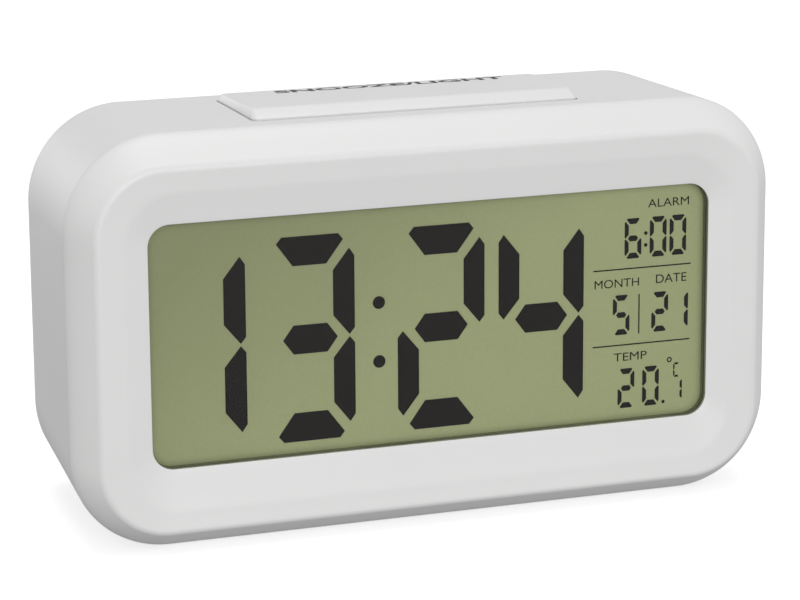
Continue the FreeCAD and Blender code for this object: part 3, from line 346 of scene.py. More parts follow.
# ---------------------------------------------------------------- finishes
class Finish:
    """A material and the few node steps that the clock's finishes share."""

    def __init__(self, name):
        self.material = bpy.data.materials.new(name)
        self.material.use_nodes = True
        self.tree = self.material.node_tree
        self.tree.nodes.clear()
        self.out = self.tree.nodes.new("ShaderNodeOutputMaterial")
        self.skin = self.tree.nodes.new("ShaderNodeBsdfPrincipled")
        self.tree.links.new(self.skin.outputs[0], self.out.inputs[0])
        self.place = self.tree.nodes.new("ShaderNodeTexCoord").outputs["Object"]

    def node(self, kind, links=(), **values):
        """A node with its inputs set or linked; links are (input, output socket) pairs."""
        made = self.tree.nodes.new(kind)
        for key, value in values.items():
            if key in made.inputs:
                made.inputs[key].default_value = value
            else:
                setattr(made, key, value)
        for key, socket in links:
            self.tree.links.new(socket, made.inputs[key])
        return made

    def split(self, vector):
        """X, Y and Z of a vector."""
        return self.node("ShaderNodeSeparateXYZ", [("Vector", vector)]).outputs

    def sum_node(self, kind, operation, first, second):
        """A node that works on one socket, and on a second socket or value if there is one."""
        made = self.node(kind, [(0, first)], operation=operation)
        if isinstance(second, bpy.types.NodeSocket):
            self.tree.links.new(second, made.inputs[1])
        elif second is not None:
            made.inputs[1].default_value = second
        return made.outputs[0]

    def vector(self, operation, first, second=None):
        """A step on vectors."""
        return self.sum_node("ShaderNodeVectorMath", operation, first, second)

    def number(self, operation, first, second):
        """A step on numbers."""
        return self.sum_node("ShaderNodeMath", operation, first, second)

    def mapped(self, scale=(1, 1, 1), turn=(0, 0, 0), shift=(0, 0, 0)):
        """Object coordinates shifted, turned and scaled."""
        made = self.node("ShaderNodeMapping", [("Vector", self.place)])
        made.inputs["Location"].default_value = shift
        made.inputs["Rotation"].default_value = turn
        made.inputs["Scale"].default_value = scale
        return made.outputs[0]

    def noise(self, scale, detail=3.0, rough=0.5, place=None):
        """Value of a noise, 0 to 1, that repeats about scale times per metre."""
        made = self.node("ShaderNodeTexNoise", [("Vector", place or self.place)], Scale=scale,
                         Detail=detail, Roughness=rough)
        return made.outputs[0]

    def ramp(self, value, stops):
        """Colours over a value, as (place, colour) pairs."""
        made = self.node("ShaderNodeValToRGB", [("Fac", value)])
        band = made.color_ramp
        while len(band.elements) < len(stops):
            band.elements.new(0.5)
        for element, (at, tone) in zip(band.elements, stops):
            element.position = at
            element.color = tone
        return made.outputs[0]

    def mix(self, factor, first, second, kind="MIX"):
        """Mixes two colours or sockets by a factor or a socket."""
        made = self.tree.nodes.new("ShaderNodeMix")
        made.data_type = "RGBA"
        made.blend_type = kind
        for key, value in ((0, factor), (6, first), (7, second)):
            if isinstance(value, bpy.types.NodeSocket):
                self.tree.links.new(value, made.inputs[key])
            else:
                made.inputs[key].default_value = value
        return made.outputs[2]

    def span(self, value, low, high, start=0.0, end=1.0):
        """Value from start..end carried to low..high."""
        made = self.node("ShaderNodeMapRange", [("Value", value)])
        for key, number in (("From Min", start), ("From Max", end), ("To Min", low), ("To Max", high)):
            made.inputs[key].default_value = number
        return made.outputs[0]

    def bump(self, height, strength, distance, under=None):
        """Normal roughened by a height."""
        made = self.node("ShaderNodeBump", [("Height", height)], Strength=strength, Distance=distance)
        if under is not None:
            self.tree.links.new(under, made.inputs["Normal"])
        return made.outputs[0]

    def link(self, key, socket):
        """Links a socket to the surface shader."""
        self.tree.links.new(socket, self.skin.inputs[key])

    def set(self, **values):
        """Sets the surface shader's own sockets."""
        for key, value in values.items():
            self.skin.inputs[key.replace("_", " ")].default_value = value


def shade(tone, factor):
    """A tone made darker or lighter, alpha kept."""
    return (min(tone[0] * factor, 1), min(tone[1] * factor, 1), min(tone[2] * factor, 1), 1)


def moulded(name, tone, rough=0.38, grain=2600.0, depth=0.06, cloud=45.0, contrast=0.02, sheen=0.5):
    """Moulded plastic: faint clouding of the tone, a fine texture, and gloss that varies a little."""
    look = Finish(name)
    tone = tuple(tone)
    cloud_value = look.noise(cloud, 4.0)
    look.link("Base Color", look.ramp(cloud_value, [(0.15, shade(tone, 1 - contrast)),
                                                    (0.85, shade(tone, 1 + contrast * 0.6))]))
    look.link("Roughness", look.span(look.noise(cloud * 4, 3.0), rough - 0.02, rough + 0.03, 0.15, 0.85))
    fine = look.noise(grain, 2.0)
    slow = look.noise(320.0, 2.0)
    look.link("Normal", look.bump(fine, depth, 0.00004, look.bump(slow, depth * 0.6, 0.0001)))
    look.set(IOR=1.49, Specular_IOR_Level=sheen)
    return look.material


def brushed(name, tone, rough=0.28, lines=(900, 40, 40)):
    """Metal with fine drawn lines along one direction and a little tarnish."""
    look = Finish(name)
    tone = tuple(tone)
    drawn = look.noise(3.0, 3.0, 0.6, look.mapped(lines))
    tarnish = look.noise(400.0, 4.0)
    look.link("Base Color", look.ramp(tarnish, [(0.3, shade(tone, 0.78)), (0.65, tone)]))
    look.link("Roughness", look.span(drawn, rough - 0.08, rough + 0.14, 0.3, 0.7))
    look.link("Normal", look.bump(drawn, 0.12, 0.00004))
    look.set(Metallic=1.0)
    return look.material


def clear_film(name, tone, rough, clouding=0.03, pass_through=0.8):
    """Clear sheet: body of a faint tone with fine haze in its gloss."""
    look = Finish(name)
    look.link("Base Color", look.ramp(look.noise(60.0), [(0.3, shade(tone, 1 - clouding)), (0.7, tone)]))
    look.link("Roughness", look.span(look.noise(240.0), rough, rough + 0.05, 0.3, 0.7))
    look.set(IOR=1.49, Transmission_Weight=pass_through)
    return look.material


def dress(material, *nodes):
    """Gives CAD nodes their finish through their own material slots."""
    for name in nodes:
        piece = frame["nodes"][name]
        if not piece.material_slots:
            piece.data.materials.append(material)
        for place in piece.material_slots:
            place.material = material


# ---------------------------------------------------------------- bezel
def bezel_profile(case, bezel):
    """Closed section of the bezel as (side margin, depth) points.

    Outside: a cubic sweep from the seam to the ridge. Ridge and band edge are soft quadratic bends.
    The flat band falls evenly, the inner slope falls to the opening, the lip goes straight back, and
    the inside comes back one wall behind to a tongue that enters the rear case.
    """
    ridge = bezel.ridge_side
    band = ridge + bezel.band_side
    opening = band + bezel.slope_side
    t = np.linspace(0.0, 1.0, 22)[:-3, None]
    p0, p1, p2, p3 = (np.array(p) for p in ((0.0, case.seam), (0.0, 0.73 * case.seam),
                                            (0.66 * ridge, 0.25 * case.seam), (ridge, 0.0)))
    sweep = (1 - t) ** 3 * p0 + 3 * t * (1 - t) ** 2 * p1 + 3 * t**2 * (1 - t) * p2 + t**3 * p3
    crest_end = (ridge + 0.9 * MM, bezel.band_depth * 0.17)
    crest = bend(sweep[-1], (ridge - 0.12 * MM, -0.02 * MM), crest_end, 12)[1:]
    fall = bezel.opening_depth - bezel.band_depth
    soft = 0.55 * MM
    before = (band - soft, bezel.band_depth * (1 - soft / bezel.band_side))
    after = (band + soft, bezel.band_depth + fall * soft / bezel.slope_side)
    flat = np.linspace(crest_end, before, 6)[1:]
    edge = bend(before, (band, bezel.band_depth), after, 8)[1:]
    blunt = 0.12 * MM
    slope_end = (opening - blunt, bezel.opening_depth - fall * blunt / bezel.slope_side)
    slope = np.linspace(after, slope_end, 6)[1:]
    lip_start = (opening, bezel.opening_depth + 0.13 * MM)
    nose = bend(slope_end, (opening, bezel.opening_depth), lip_start, 6)[1:]
    back = bezel.opening_depth + bezel.lip
    tongue_out = 2.5 * MM
    inside = np.array([
        (opening, back - 0.1 * MM), (opening, back), (opening - 0.3 * MM, back), (band, back + 0.1 * MM),
        (ridge + bezel.wall, back + 0.3 * MM), (bezel.wall + 1.6 * MM, back + 1.4 * MM),
        (tongue_out + 1.2 * MM, case.seam), (tongue_out + 1.2 * MM, case.seam + bezel.tongue),
        (tongue_out, case.seam + bezel.tongue), (tongue_out, case.seam), (0.13 * MM, case.seam),
        (0.03 * MM, case.seam - 0.05 * MM),
    ])
    sweep[0] = (0.0, case.seam - 0.14 * MM)
    return np.concatenate([sweep, crest, flat, edge, slope, nose, inside])


def bezel_rings(case, bezel):
    """Carries the section round the clock: each point is a rounded outline whose four margins and
    corner radius are smooth functions of the side margin."""
    section = bezel_profile(case, bezel)
    ridge = bezel.ridge_side
    band = ridge + bezel.band_side
    opening = band + bezel.slope_side
    keys = (0.0, ridge, band, opening)
    tops = np.cumsum((0.0, bezel.ridge_top, bezel.band_top, bezel.slope_top))
    lows = np.cumsum((0.0, bezel.ridge_bottom, bezel.band_bottom, bezel.slope_bottom))
    radii = (case.corner, bezel.ridge_corner, bezel.band_corner, bezel.opening_corner)
    rings = []
    for side, depth in section:
        top = eased(np.array(side), keys, tops)
        low = eased(np.array(side), keys, lows)
        radius = float(eased(np.array(side), keys, radii))
        flat = outline(case.width / 2 - side, float(low), case.height - float(top), radius, 30, 26)
        rings.append(np.stack([flat[:, 0], np.full(len(flat), depth), flat[:, 1]], axis=1))
    return np.array(rings)


class CLOCK_OT_bezel(bpy.types.Operator):
    """Makes the front bezel as one smooth ring"""

    bl_idname = "clock.bezel"
    bl_label = "Front bezel"

    def execute(self, context):
        scene = context.scene
        rings = bezel_rings(scene.clock_case, scene.clock_bezel)
        rows, columns = rings.shape[:2]
        white = moulded("bezel white", scene.clock_case.front_tone, rough=0.34, grain=3000.0, depth=0.015)
        piece = finish_mesh("bezel", rings.reshape(-1, 3), grid_faces(rows, columns, True), "case",
                            "front_shell", white, 40.0)
        # Painted shade: the wall round the display opening is coloured dark in place of the shade in the
        # recess.
        self.paint_lip_shade(piece, scene.clock_case, scene.clock_bezel)
        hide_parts("front_bezel")
        return {"FINISHED"}

    @staticmethod
    def paint_lip_shade(piece, case, bezel):
        """Paints shade on the edge of the opening: faces between the opening's outline and the window, told
        by their depth and by facing inwards across the clock, take a dark olive that stands for the shade in
        the recess."""
        # Dark olive painted shade for the inner wall of the opening.
        lip_shade = moulded("painted lip shade", (0.30, 0.315, 0.215, 1), rough=0.6, grain=2200.0, depth=0.05,
                        contrast=0.2, sheen=0.2)
        piece.data.materials.append(lip_shade)
        side = bezel.ridge_side + bezel.band_side + bezel.slope_side
        count = len(piece.data.polygons)
        centres, normals = np.empty(count * 3), np.empty(count * 3)
        piece.data.polygons.foreach_get("center", centres)
        piece.data.polygons.foreach_get("normal", normals)
        centres, normals = centres.reshape(-1, 3), normals.reshape(-1, 3)
        face = np.array(turned((0, -1, 0)))
        zero = on_clock(np.array([0.0, 0.0, case.height / 2]))
        depth = -((centres - zero) @ face)
        across = np.abs(normals @ face) < 0.35
        near = depth > bezel.opening_depth - 0.02 * MM
        before = depth < bezel.opening_depth + bezel.lip
        inside = np.abs(centres[:, 0]) < case.width / 2 - side + 0.1 * MM
        lip_shade_faces = (across & near & before & inside).astype(np.int32)
        piece.data.polygons.foreach_set("material_index", lip_shade_faces)
        piece.data.update()


# ---------------------------------------------------------------- snooze bar
def bar_ring(snooze, top_of_case, front, back, end, corner, level):
    """Rounded outline seen from above with its own front, back and end margins; level is a height
    above the case at the crest, and falls evenly from the crest to the back when above the gap."""
    low = snooze.front + front
    high = snooze.back - back
    flat = outline(snooze.half - end, low, high, corner, 12, 24)
    fall = (snooze.rise - snooze.rear_rise) / (snooze.back - snooze.front - snooze.face)
    share = np.clip(level / snooze.rise, 0.0, 1.0)
    tilt = fall * np.clip(flat[:, 1] - snooze.front - snooze.face, 0.0, None) * share
    return np.stack([flat[:, 0], flat[:, 1], top_of_case + level - tilt], axis=1)


def bar_rings(case, snooze):
    """One chain of rings: the inside under the wall, then flange, skirt, sloping face and level top.

    The face climbs in a straight line over its run and turns into the top over a quadratic bend.
    """
    foot = 0.25 * MM
    span = snooze.rise - foot
    climb = bend((0.0, foot), (0.10, foot + 0.04 * span), (0.2, foot + 0.2 * span), 5)
    middle = np.linspace(climb[-1], (0.86, foot + 0.86 * span), 6)[1:]
    crest = bend(middle[-1], (1.0, snooze.rise), (1.2, snooze.rise), 10)[1:]
    inward = np.linspace(crest[-1], (1.5, snooze.rise), 4)[1:]
    reach, wall = snooze.flange_reach, snooze.wall
    low, top = -(snooze.flange_top + snooze.flange), -snooze.flange_top
    rows = [bar_ring(snooze, case.height, wall, wall, wall, snooze.corner - wall / 2, level)
            for level in (snooze.rear_rise - wall, low)]
    for out, level in ((reach, low), (reach, top), (0.0, top), (0.0, -0.2 * MM)):
        rows.append(bar_ring(snooze, case.height, -out, -out, -out, snooze.corner + out, level))
    for share, height in np.concatenate([climb, middle, crest, inward]):
        past = max(share - 1.2, 0.0) * snooze.face
        rows.append(bar_ring(snooze, case.height, share * snooze.face, share * 1.3 * MM,
                             min(share, 1.0) * snooze.end_run + past, snooze.corner, height))
    return np.array(rows)


def stem(x, y, radius, low, high):
    """Round stem as two rings."""
    flat = disc(x, y, radius)
    rings = [np.stack([flat[:, 0], flat[:, 1], np.full(len(flat), z)], axis=1) for z in (low, high)]
    return capped(np.array(rings))


class CLOCK_OT_snooze(bpy.types.Operator):
    """Makes the snooze bar with its printed words"""

    bl_idname = "clock.snooze"
    bl_label = "Snooze bar"

    def execute(self, context):
        case, snooze = context.scene.clock_case, context.scene.clock_snooze
        middle = (snooze.front + snooze.back) / 2
        stem_low = self.stem_end(snooze, middle)
        parts = [capped(bar_rings(case, snooze))]
        for x in (-snooze.stem_x, snooze.stem_x):
            parts.append(stem(x, middle, snooze.stem, stem_low, case.height - 0.4 * MM))
        white = moulded("bar white", snooze.tone, rough=0.30, grain=3400.0, depth=0.01)
        bar = finish_mesh("snooze_bar_skin", *joined(parts), "snooze_bar", "snooze_cap", white, 45.0)
        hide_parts("snooze_button")
        ink = moulded("bar print", snooze.ink, rough=0.5, grain=5000.0, depth=0.1, contrast=0.3)
        points, faces = lettering(snooze.words, snooze.word_length, snooze.word_height, 0.02 * MM, 0.03)
        fall = (snooze.rise - snooze.rear_rise) / (snooze.back - snooze.front - snooze.face)
        y = points[:, 1] + snooze.word_back
        top = case.height + snooze.rise - fall * (y - snooze.front - snooze.face)
        z = top + points[:, 2] + 0.008 * MM
        words = np.stack([points[:, 0] + snooze.word_right, y, z], axis=1)
        finish_mesh("snooze_words", words, faces, "snooze_bar", "snooze_cap", ink)
        return {"FINISHED"}

    @staticmethod
    def stem_end(snooze, middle):
        """Height of the stems' feet: the lowest point of the CAD bar, carried back to the face frame."""
        probe = on_clock(np.array([0.0, middle + snooze.stem, 0.0]))
        return (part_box("snooze_button")[0][2] - probe[2]) / math.cos(LEAN)


# ---------------------------------------------------------------- display
LIT = {"0": "abcdef", "1": "bc", "2": "abged", "3": "abgcd", "4": "fgbc", "5": "afgcd", "6": "afgedc",
       "C": "afed"}


def segment(kind, w):
    """One segment of a figure one unit high each way from its middle, as (x, z) corners."""
    across = np.array([(-w + 0.170, 1.0), (w - 0.160, 1.0), (w - 0.112, 0.940), (w - 0.281, 0.716),
                       (-w + 0.277, 0.716), (-w + 0.116, 0.937)])
    beside = np.array([(w - 0.053, 0.850), (w, 0.775), (w, 0.075), (w - 0.053, 0.010),
                       (w - 0.216, 0.206), (w - 0.216, 0.646)])
    middle = np.array([(-w + 0.277, 0.141), (w - 0.277, 0.141), (w - 0.173, 0.0), (w - 0.277, -0.141),
                       (-w + 0.277, -0.141), (-w + 0.173, 0.0)])
    mirror = {"a": (across, 1, 1), "d": (across, 1, -1), "b": (beside, 1, 1), "c": (beside, 1, -1),
              "f": (beside, -1, 1), "e": (beside, -1, -1), "g": (middle, 1, 1)}
    shape, sx, sz = mirror[kind]
    return shape * np.array([sx, sz])


def figure(text, x, z, half):
    """Segments of one figure with its middle at (x, z)."""
    return [segment(kind, FIGURE_HALF) * half + np.array([x, z]) for kind in LIT[text]]


def bar_line(x0, z0, x1, z1, thick):
    """Thin straight line as a four-cornered polygon."""
    along = np.array([x1 - x0, z1 - z0])
    across = np.array([-along[1], along[0]]) / np.hypot(*along) * thick / 2
    start, end = np.array([x0, z0]), np.array([x1, z1])
    return np.array([start - across, end - across, end + across, start + across])


def face_marks(display):
    """All figures, dots and lines on the face, as flat polygons in metres."""
    big, small = display.figure, display.small_figure
    mid = display.middle
    marks = []
    for text, right in (("1", -35.45), ("3", -15.03), ("2", 9.93), ("4", 29.51)):
        marks += figure(text, right * MM - FIGURE_HALF * big, mid, big)
    for z in (41.75, 30.8):
        marks.append(disc(-10.45 * MM, z * MM, 1.18 * MM))
    for text, right, z in (("6", 41.02, 49.6), ("0", 46.09, 49.6), ("0", 50.1, 49.6), ("5", 38.8, 35.23),
                           ("2", 46.62, 35.23), ("1", 50.69, 35.23), ("2", 39.93, 21.1), ("0", 44.93, 21.1)):
        marks += figure(text, right * MM - FIGURE_HALF * small, z * MM, small)
    marks += figure("1", 49.67 * MM - FIGURE_HALF * 2.1 * MM, 19.9 * MM, 2.15 * MM)
    marks += figure("C", 48.47 * MM, 23.7 * MM, 1.4 * MM)
    for z in (50.4, 48.15):
        marks.append(disc(41.9 * MM, z * MM, 0.36 * MM, 20))
    marks.append(disc(45.86 * MM, 17.75 * MM, 0.34 * MM, 20))
    for z in (43.94, 29.47):
        marks.append(bar_line(31.4 * MM, z * MM, 51.1 * MM, z * MM, 0.26 * MM))
    marks.append(bar_line(40.7 * MM, 31.4 * MM, 40.7 * MM, 38.95 * MM, 0.26 * MM))
    return marks


def small_ring(x, z, outer, inner, near, far, count=24):
    """Flat round washer: a four-sided section carried round a circle."""
    turn = np.linspace(0.0, 2 * math.pi, count, endpoint=False)
    rows = []
    for radius, y in ((outer, near), (outer, far), (inner, far), (inner, near)):
        rows.append(np.stack([x + radius * np.cos(turn), np.full(count, y), z + radius * np.sin(turn)],
                             axis=1))
    rings = np.array(rows)
    return rings.reshape(-1, 3), grid_faces(4, count, True).tolist()


def painted_edge_shadow(look, display):
    """Painted shadow of the bezel's lip round the edge of the face: the distance to a rounded rectangle,
    turned into a darkening.

    With q the point's distance past the straight inner sides, the distance to the edge is
    min(max(q), 0) + |max(q, 0)| - corner, negative inside.
    """
    case, bezel = bpy.context.scene.clock_case, bpy.context.scene.clock_bezel
    side = bezel.ridge_side + bezel.band_side + bezel.slope_side
    low = bezel.ridge_bottom + bezel.band_bottom + bezel.slope_bottom
    high = case.height - bezel.ridge_top - bezel.band_top - bezel.slope_top
    middle = on_clock(np.array([0.0, display.plane, (low + high) / 2]))
    corner = bezel.opening_corner
    inner = Vector((case.width / 2 - side - corner, (high - low) / 2 - corner, 0.0))
    square = look.node("ShaderNodeMapping", [("Vector", look.place)], vector_type="TEXTURE")
    square.inputs["Location"].default_value = middle
    square.inputs["Rotation"].default_value = (math.pi / 2 - LEAN, 0, 0)
    past = look.vector("SUBTRACT", look.vector("ABSOLUTE", square.outputs[0]), inner)
    flat = look.vector("MULTIPLY", look.vector("MAXIMUM", past, (0, 0, 0)), (1, 1, 0))
    away = look.node("ShaderNodeVectorMath", [(0, flat)], operation="LENGTH").outputs["Value"]
    right, up = look.split(past)[:2]
    inside = look.number("MINIMUM", look.number("MAXIMUM", right, up), 0.0)
    total = look.number("ADD", away, inside)
    share = look.span(total, 0.0, 1.0, corner - display.shadow_band, corner)
    # Painted shadow: full tone inside, darker towards the edge of the opening.
    stops = ((0.0, 1.0), (0.3, 0.96), (0.65, 0.85), (1.0, 0.66))
    return look.ramp(share, [(at, (tone, tone, tone, 1)) for at, tone in stops])


def face_paper(display):
    """Olive face with painted light: darker towards its upper left corner and lighter towards its lower
    right, with fine grain and faint clouding.
    """
    look = Finish("display olive")
    right, _, up = look.split(look.place)
    case = bpy.context.scene.clock_case
    feet, head = (on_clock(np.array([0.0, display.plane, z]))[2] for z in (0.2 * case.height,
                                                                         0.79 * case.height))
    # Painted light: the olive goes from the shaded tone at the upper left to the lit tone at the lower right.
    across = look.span(right, 0.0, 1.18, -0.39 * case.width, 0.39 * case.width)
    down = look.span(up, 0.73, 0.0, feet, head)
    lit = look.span(look.number("ADD", across, down), 0.0, 1.0, 0.2, 1.0)
    base = look.mix(lit, tuple(display.paper), tuple(display.paper_light))
    grain = look.ramp(look.noise(2400.0, 3.0, 0.6), [(0.3, (0.93, 0.93, 0.93, 1)), (0.7, (1, 1, 1, 1))])
    cloud = look.ramp(look.noise(26.0, 2.0), [(0.3, (0.965, 0.97, 0.965, 1)), (0.7, (1, 1, 1, 1))])
    tone = look.mix(1.0, look.mix(1.0, base, grain, "MULTIPLY"), cloud, "MULTIPLY")
    # The face's colour is multiplied by the painted shadow round its edge.
    look.link("Base Color", look.mix(1.0, tone, painted_edge_shadow(look, display), "MULTIPLY"))
    look.link("Roughness", look.span(look.noise(900.0), 0.42, 0.55, 0.3, 0.7))
    look.link("Normal", look.bump(look.noise(3000.0), 0.05, 0.00002))
    look.set(Specular_IOR_Level=0.3)
    return look.material


def window_clear():
    """Clear window: light goes straight through except for a thin glossy reflection at its surface."""
    look = Finish("window clear")
    tree = look.tree
    tree.nodes.remove(look.skin)
    through = look.node("ShaderNodeBsdfTransparent", Color=(0.965, 0.97, 0.968, 1))
    haze = look.span(look.noise(130.0, 3.0), 0.02, 0.05, 0.3, 0.7)
    gloss = look.node("ShaderNodeBsdfGlossy", [("Roughness", haze)])
    rim = look.node("ShaderNodeFresnel", IOR=1.27)
    both = look.node("ShaderNodeMixShader", [(0, rim.outputs[0])])
    tree.links.new(through.outputs[0], both.inputs[1])
    tree.links.new(gloss.outputs[0], both.inputs[2])
    tree.links.new(both.outputs[0], look.out.inputs[0])
    return look.material


class CLOCK_OT_display(bpy.types.Operator):
    """Makes the liquid-crystal face with its figures, and finishes the sheets round it"""

    bl_idname = "clock.display"
    bl_label = "Display"

    def execute(self, context):
        display = context.scene.clock_display
        near, far = display.plane, display.plane + display.mark
        parts = [prism(flat, near, far) for flat in face_marks(display)]
        parts.append(small_ring(47.02 * MM, 25.76 * MM, 0.52 * MM, 0.28 * MM, near, far))
        words = ((display.alarm_words, 46.42, 55.95, 8.3, 1.55), ("MONTH", 36.17, 41.33, 8.95, 1.6),
                 ("DATE", 47.17, 41.5, 6.2, 1.65), ("TEMP", 39.03, 27.17, 6.7, 1.55))
        for text, x, z, width, height in words:
            points, faces = lettering(text, width * MM, height * MM, display.mark)
            parts.append((facing_front(points, x * MM, near + display.mark / 2, z * MM), faces))
        ink = moulded("segment ink", display.ink, rough=0.5, grain=4000.0, depth=0.01, contrast=0.15,
                       sheen=0.1)
        finish_mesh("display_figures", *joined(parts), "case", "lcd_film", ink)
        dress(face_paper(display), "front_polariser")
        dress(window_clear(), "display_window")
        # The foam gasket is a real part; its dark olive is painted shade, standing for the dark line at the
        # window's edge.
        foam_and_shade = moulded("gasket foam", (0.28, 0.295, 0.185, 1), rough=0.9, grain=5200.0, depth=0.9,
                       contrast=0.3, sheen=0.1)
        dress(foam_and_shade, "window_gasket")
        return {"FINISHED"}


# ---------------------------------------------------------------- shell
REAR_WORDS = (("MODE", -37.0, 49.6), ("UP", -23.0, 49.6), ("DOWN", -9.0, 49.6), ("C/F", 5.0, 49.6),
              ("ALARM", 21.5, 49.6), ("ON", 27.2, 56.0), ("OFF", 15.2, 56.0))
DOOR_WORDS = (("OPEN", 6.2, 26.5), ("2 x 1.5V AAA", 17.0, 14.5))


class CLOCK_OT_shell(bpy.types.Operator):
    """Finishes the rear case, battery door, keys, slider and screws, and adds the raised words"""

    bl_idname = "clock.shell"
    bl_label = "Rear case and controls"

    def execute(self, context):
        case = context.scene.clock_case
        rear = moulded("rear white", case.rear_tone, rough=0.44, grain=1500.0, depth=0.16)
        dress(rear, "rear_case")
        dress(moulded("door white", case.door_tone, rough=0.42, grain=1500.0, depth=0.16), "battery_door")
        keys = moulded("key grey", case.key_tone, rough=0.5, grain=2200.0, depth=0.12, contrast=0.05)
        dress(keys, "mode_button", "up_button", "down_button", "unit_button")
        slide = moulded("slider black", (0.02, 0.02, 0.021, 1), rough=0.5, grain=2200.0, depth=0.2,
                        contrast=0.2)
        dress(slide, "alarm_slider")
        dress(brushed("screw zinc", (0.62, 0.62, 0.63, 1), 0.3), "case_screws")
        self.raised_words(rear)
        return {"FINISHED"}

    @staticmethod
    def raised_words(material):
        """Small raised words under the keys and the slider, and battery hints on the door."""
        def raised(text, width, height, x, z):
            points, faces = lettering(text, width * MM, height * MM, 0.3 * MM)
            return facing_back(points, x * MM, BACK, z * MM), faces

        rear = [raised(text, 1.25 * len(text), 1.7, x, z) for text, x, z in REAR_WORDS]
        finish_mesh("rear_words", *joined(rear), "case", "rear_shell", material)
        door = [raised(text, width, 1.9, 0.0, z) for text, width, z in DOOR_WORDS]
        finish_mesh("door_words", *joined(door), "door", "door_plastic", material)


# ---------------------------------------------------------------- inner parts
def circuit_board(name, tone, copper):
    """Solder mask over routed tracks: two sets of fine lines, raised a little, with bare pads."""
    look = Finish(name)
    square = look.mapped(turn=(math.pi / 2 - LEAN, 0, 0))
    tracks = look.node("ShaderNodeTexBrick", [("Vector", square)], Scale=220.0)
    tracks.inputs["Color1"].default_value = (0, 0, 0, 1)
    tracks.inputs["Color2"].default_value = (0.12, 0.12, 0.12, 1)
    tracks.inputs["Mortar"].default_value = (1, 1, 1, 1)
    tracks.inputs["Mortar Size"].default_value = 0.05
    tracks.inputs["Brick Width"].default_value = 1.7
    cloth = look.noise(900.0, 2.0)
    base = look.mix(tracks.outputs[0], tuple(tone), tuple(copper))
    look.link("Base Color", look.mix(0.12, base, look.ramp(cloth, [(0.3, shade(tone, 0.6)), (0.7, tone)])))
    look.link("Normal", look.bump(tracks.outputs[0], 0.3, 0.00003))
    look.link("Roughness", look.span(cloth, 0.24, 0.36, 0.3, 0.7))
    return look.material


def banded_jacket(name, plain, band):
    """Cell jacket: a plain body with a wide band near one end and a fine printed edge, along X."""
    look = Finish(name)
    low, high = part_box("battery_cells")
    along = look.span(look.split(look.place)[0], 0.0, 1.0, low[0], high[0])
    stripe = look.ramp(along, [(0.0, tuple(plain)), (0.24, tuple(plain)), (0.245, (0.8, 0.8, 0.8, 1)),
                               (0.265, tuple(band)), (0.70, tuple(band)), (0.705, (0.8, 0.8, 0.8, 1)),
                               (0.725, tuple(plain)), (0.965, tuple(plain)), (0.97, (0.7, 0.7, 0.7, 1))])
    look.link("Base Color", look.mix(0.08, stripe, look.ramp(look.noise(700.0), GREY_RAMP)))
    look.link("Roughness", look.span(look.noise(300.0), 0.22, 0.34, 0.3, 0.7))
    look.set(Metallic=0.25)
    return look.material


def ribbed_leads(name, tone):
    """Soft insulation with faint extrusion marks."""
    look = Finish(name)
    marks = look.noise(60.0, 2.0, 0.5, look.mapped((60, 60, 60)))
    look.link("Base Color", look.ramp(marks, [(0.3, shade(tone, 0.85)), (0.7, tuple(tone))]))
    look.link("Roughness", look.span(look.noise(500.0), 0.4, 0.55, 0.3, 0.7))
    look.link("Normal", look.bump(marks, 0.2, 0.00005))
    return look.material


# Name, tone, roughness, grain, depth of the texture, contrast, and the nodes it goes on.
PLASTICS = (
    ("resin black", (0.008, 0.008, 0.008), 0.35, 900.0, 0.1, 0.3, ("chip_blob",)),
    ("sleeve blue", (0.02, 0.05, 0.22), 0.3, 900.0, 0.06, 0.15, ("board_capacitors",)),
    ("resistor black", (0.03, 0.03, 0.033), 0.4, 1800.0, 0.1, 0.3, ("board_resistors",)),
    ("switch black", (0.02, 0.02, 0.02), 0.45, 1500.0, 0.15, 0.2,
     ("snooze_plungers", "mode_plunger", "up_plunger", "down_plunger", "unit_plunger", "slide_switch_lever")),
    ("disc ceramic", (0.74, 0.73, 0.68), 0.6, 1200.0, 0.2, 0.08, ("sounder_ceramic",)),
    ("ring black", (0.03, 0.03, 0.03), 0.5, 1500.0, 0.15, 0.2, ("sounder_ring",)),
    ("socket white", (0.72, 0.71, 0.66), 0.45, 1500.0, 0.1, 0.05, ("ribbon_connector",)),
    ("bead resin", (0.02, 0.02, 0.02), 0.3, 700.0, 0.1, 0.3, ("temperature_sensor",)),
    ("zebra rubber", (0.32, 0.30, 0.28), 0.75, 2600.0, 0.3, 0.2, ("zebra_strip",)),
    ("tray white", (0.78, 0.78, 0.77), 0.5, 1500.0, 0.12, 0.04, ("lcd_frame",)),
    ("reflector film", (0.86, 0.86, 0.86), 0.25, 2500.0, 0.05, 0.03, ("reflector_sheet",)),
    ("flex amber", (0.42, 0.17, 0.03), 0.35, 1500.0, 0.1, 0.15, ("led_strip",)),
    ("lamp resin", (0.80, 0.78, 0.60), 0.3, 1200.0, 0.06, 0.1, ("backlight_leds",)),
)
# Name, tone, roughness, nodes.
METALS = (
    ("small screws", (0.55, 0.55, 0.56), 0.32, ("board_screws", "snooze_board_screws", "key_board_screws")),
    ("crystal can", (0.68, 0.68, 0.70), 0.2, ("clock_crystal",)),
    ("switch case", (0.60, 0.60, 0.58), 0.36, ("snooze_switches", "key_switches", "slide_switch_body")),
    ("contact nickel", (0.72, 0.70, 0.65), 0.24,
     ("battery_bridge", "battery_spring_contact", "battery_flat_contact")),
    ("disc brass", (0.80, 0.60, 0.28), 0.3, ("sounder_disc",)),
)
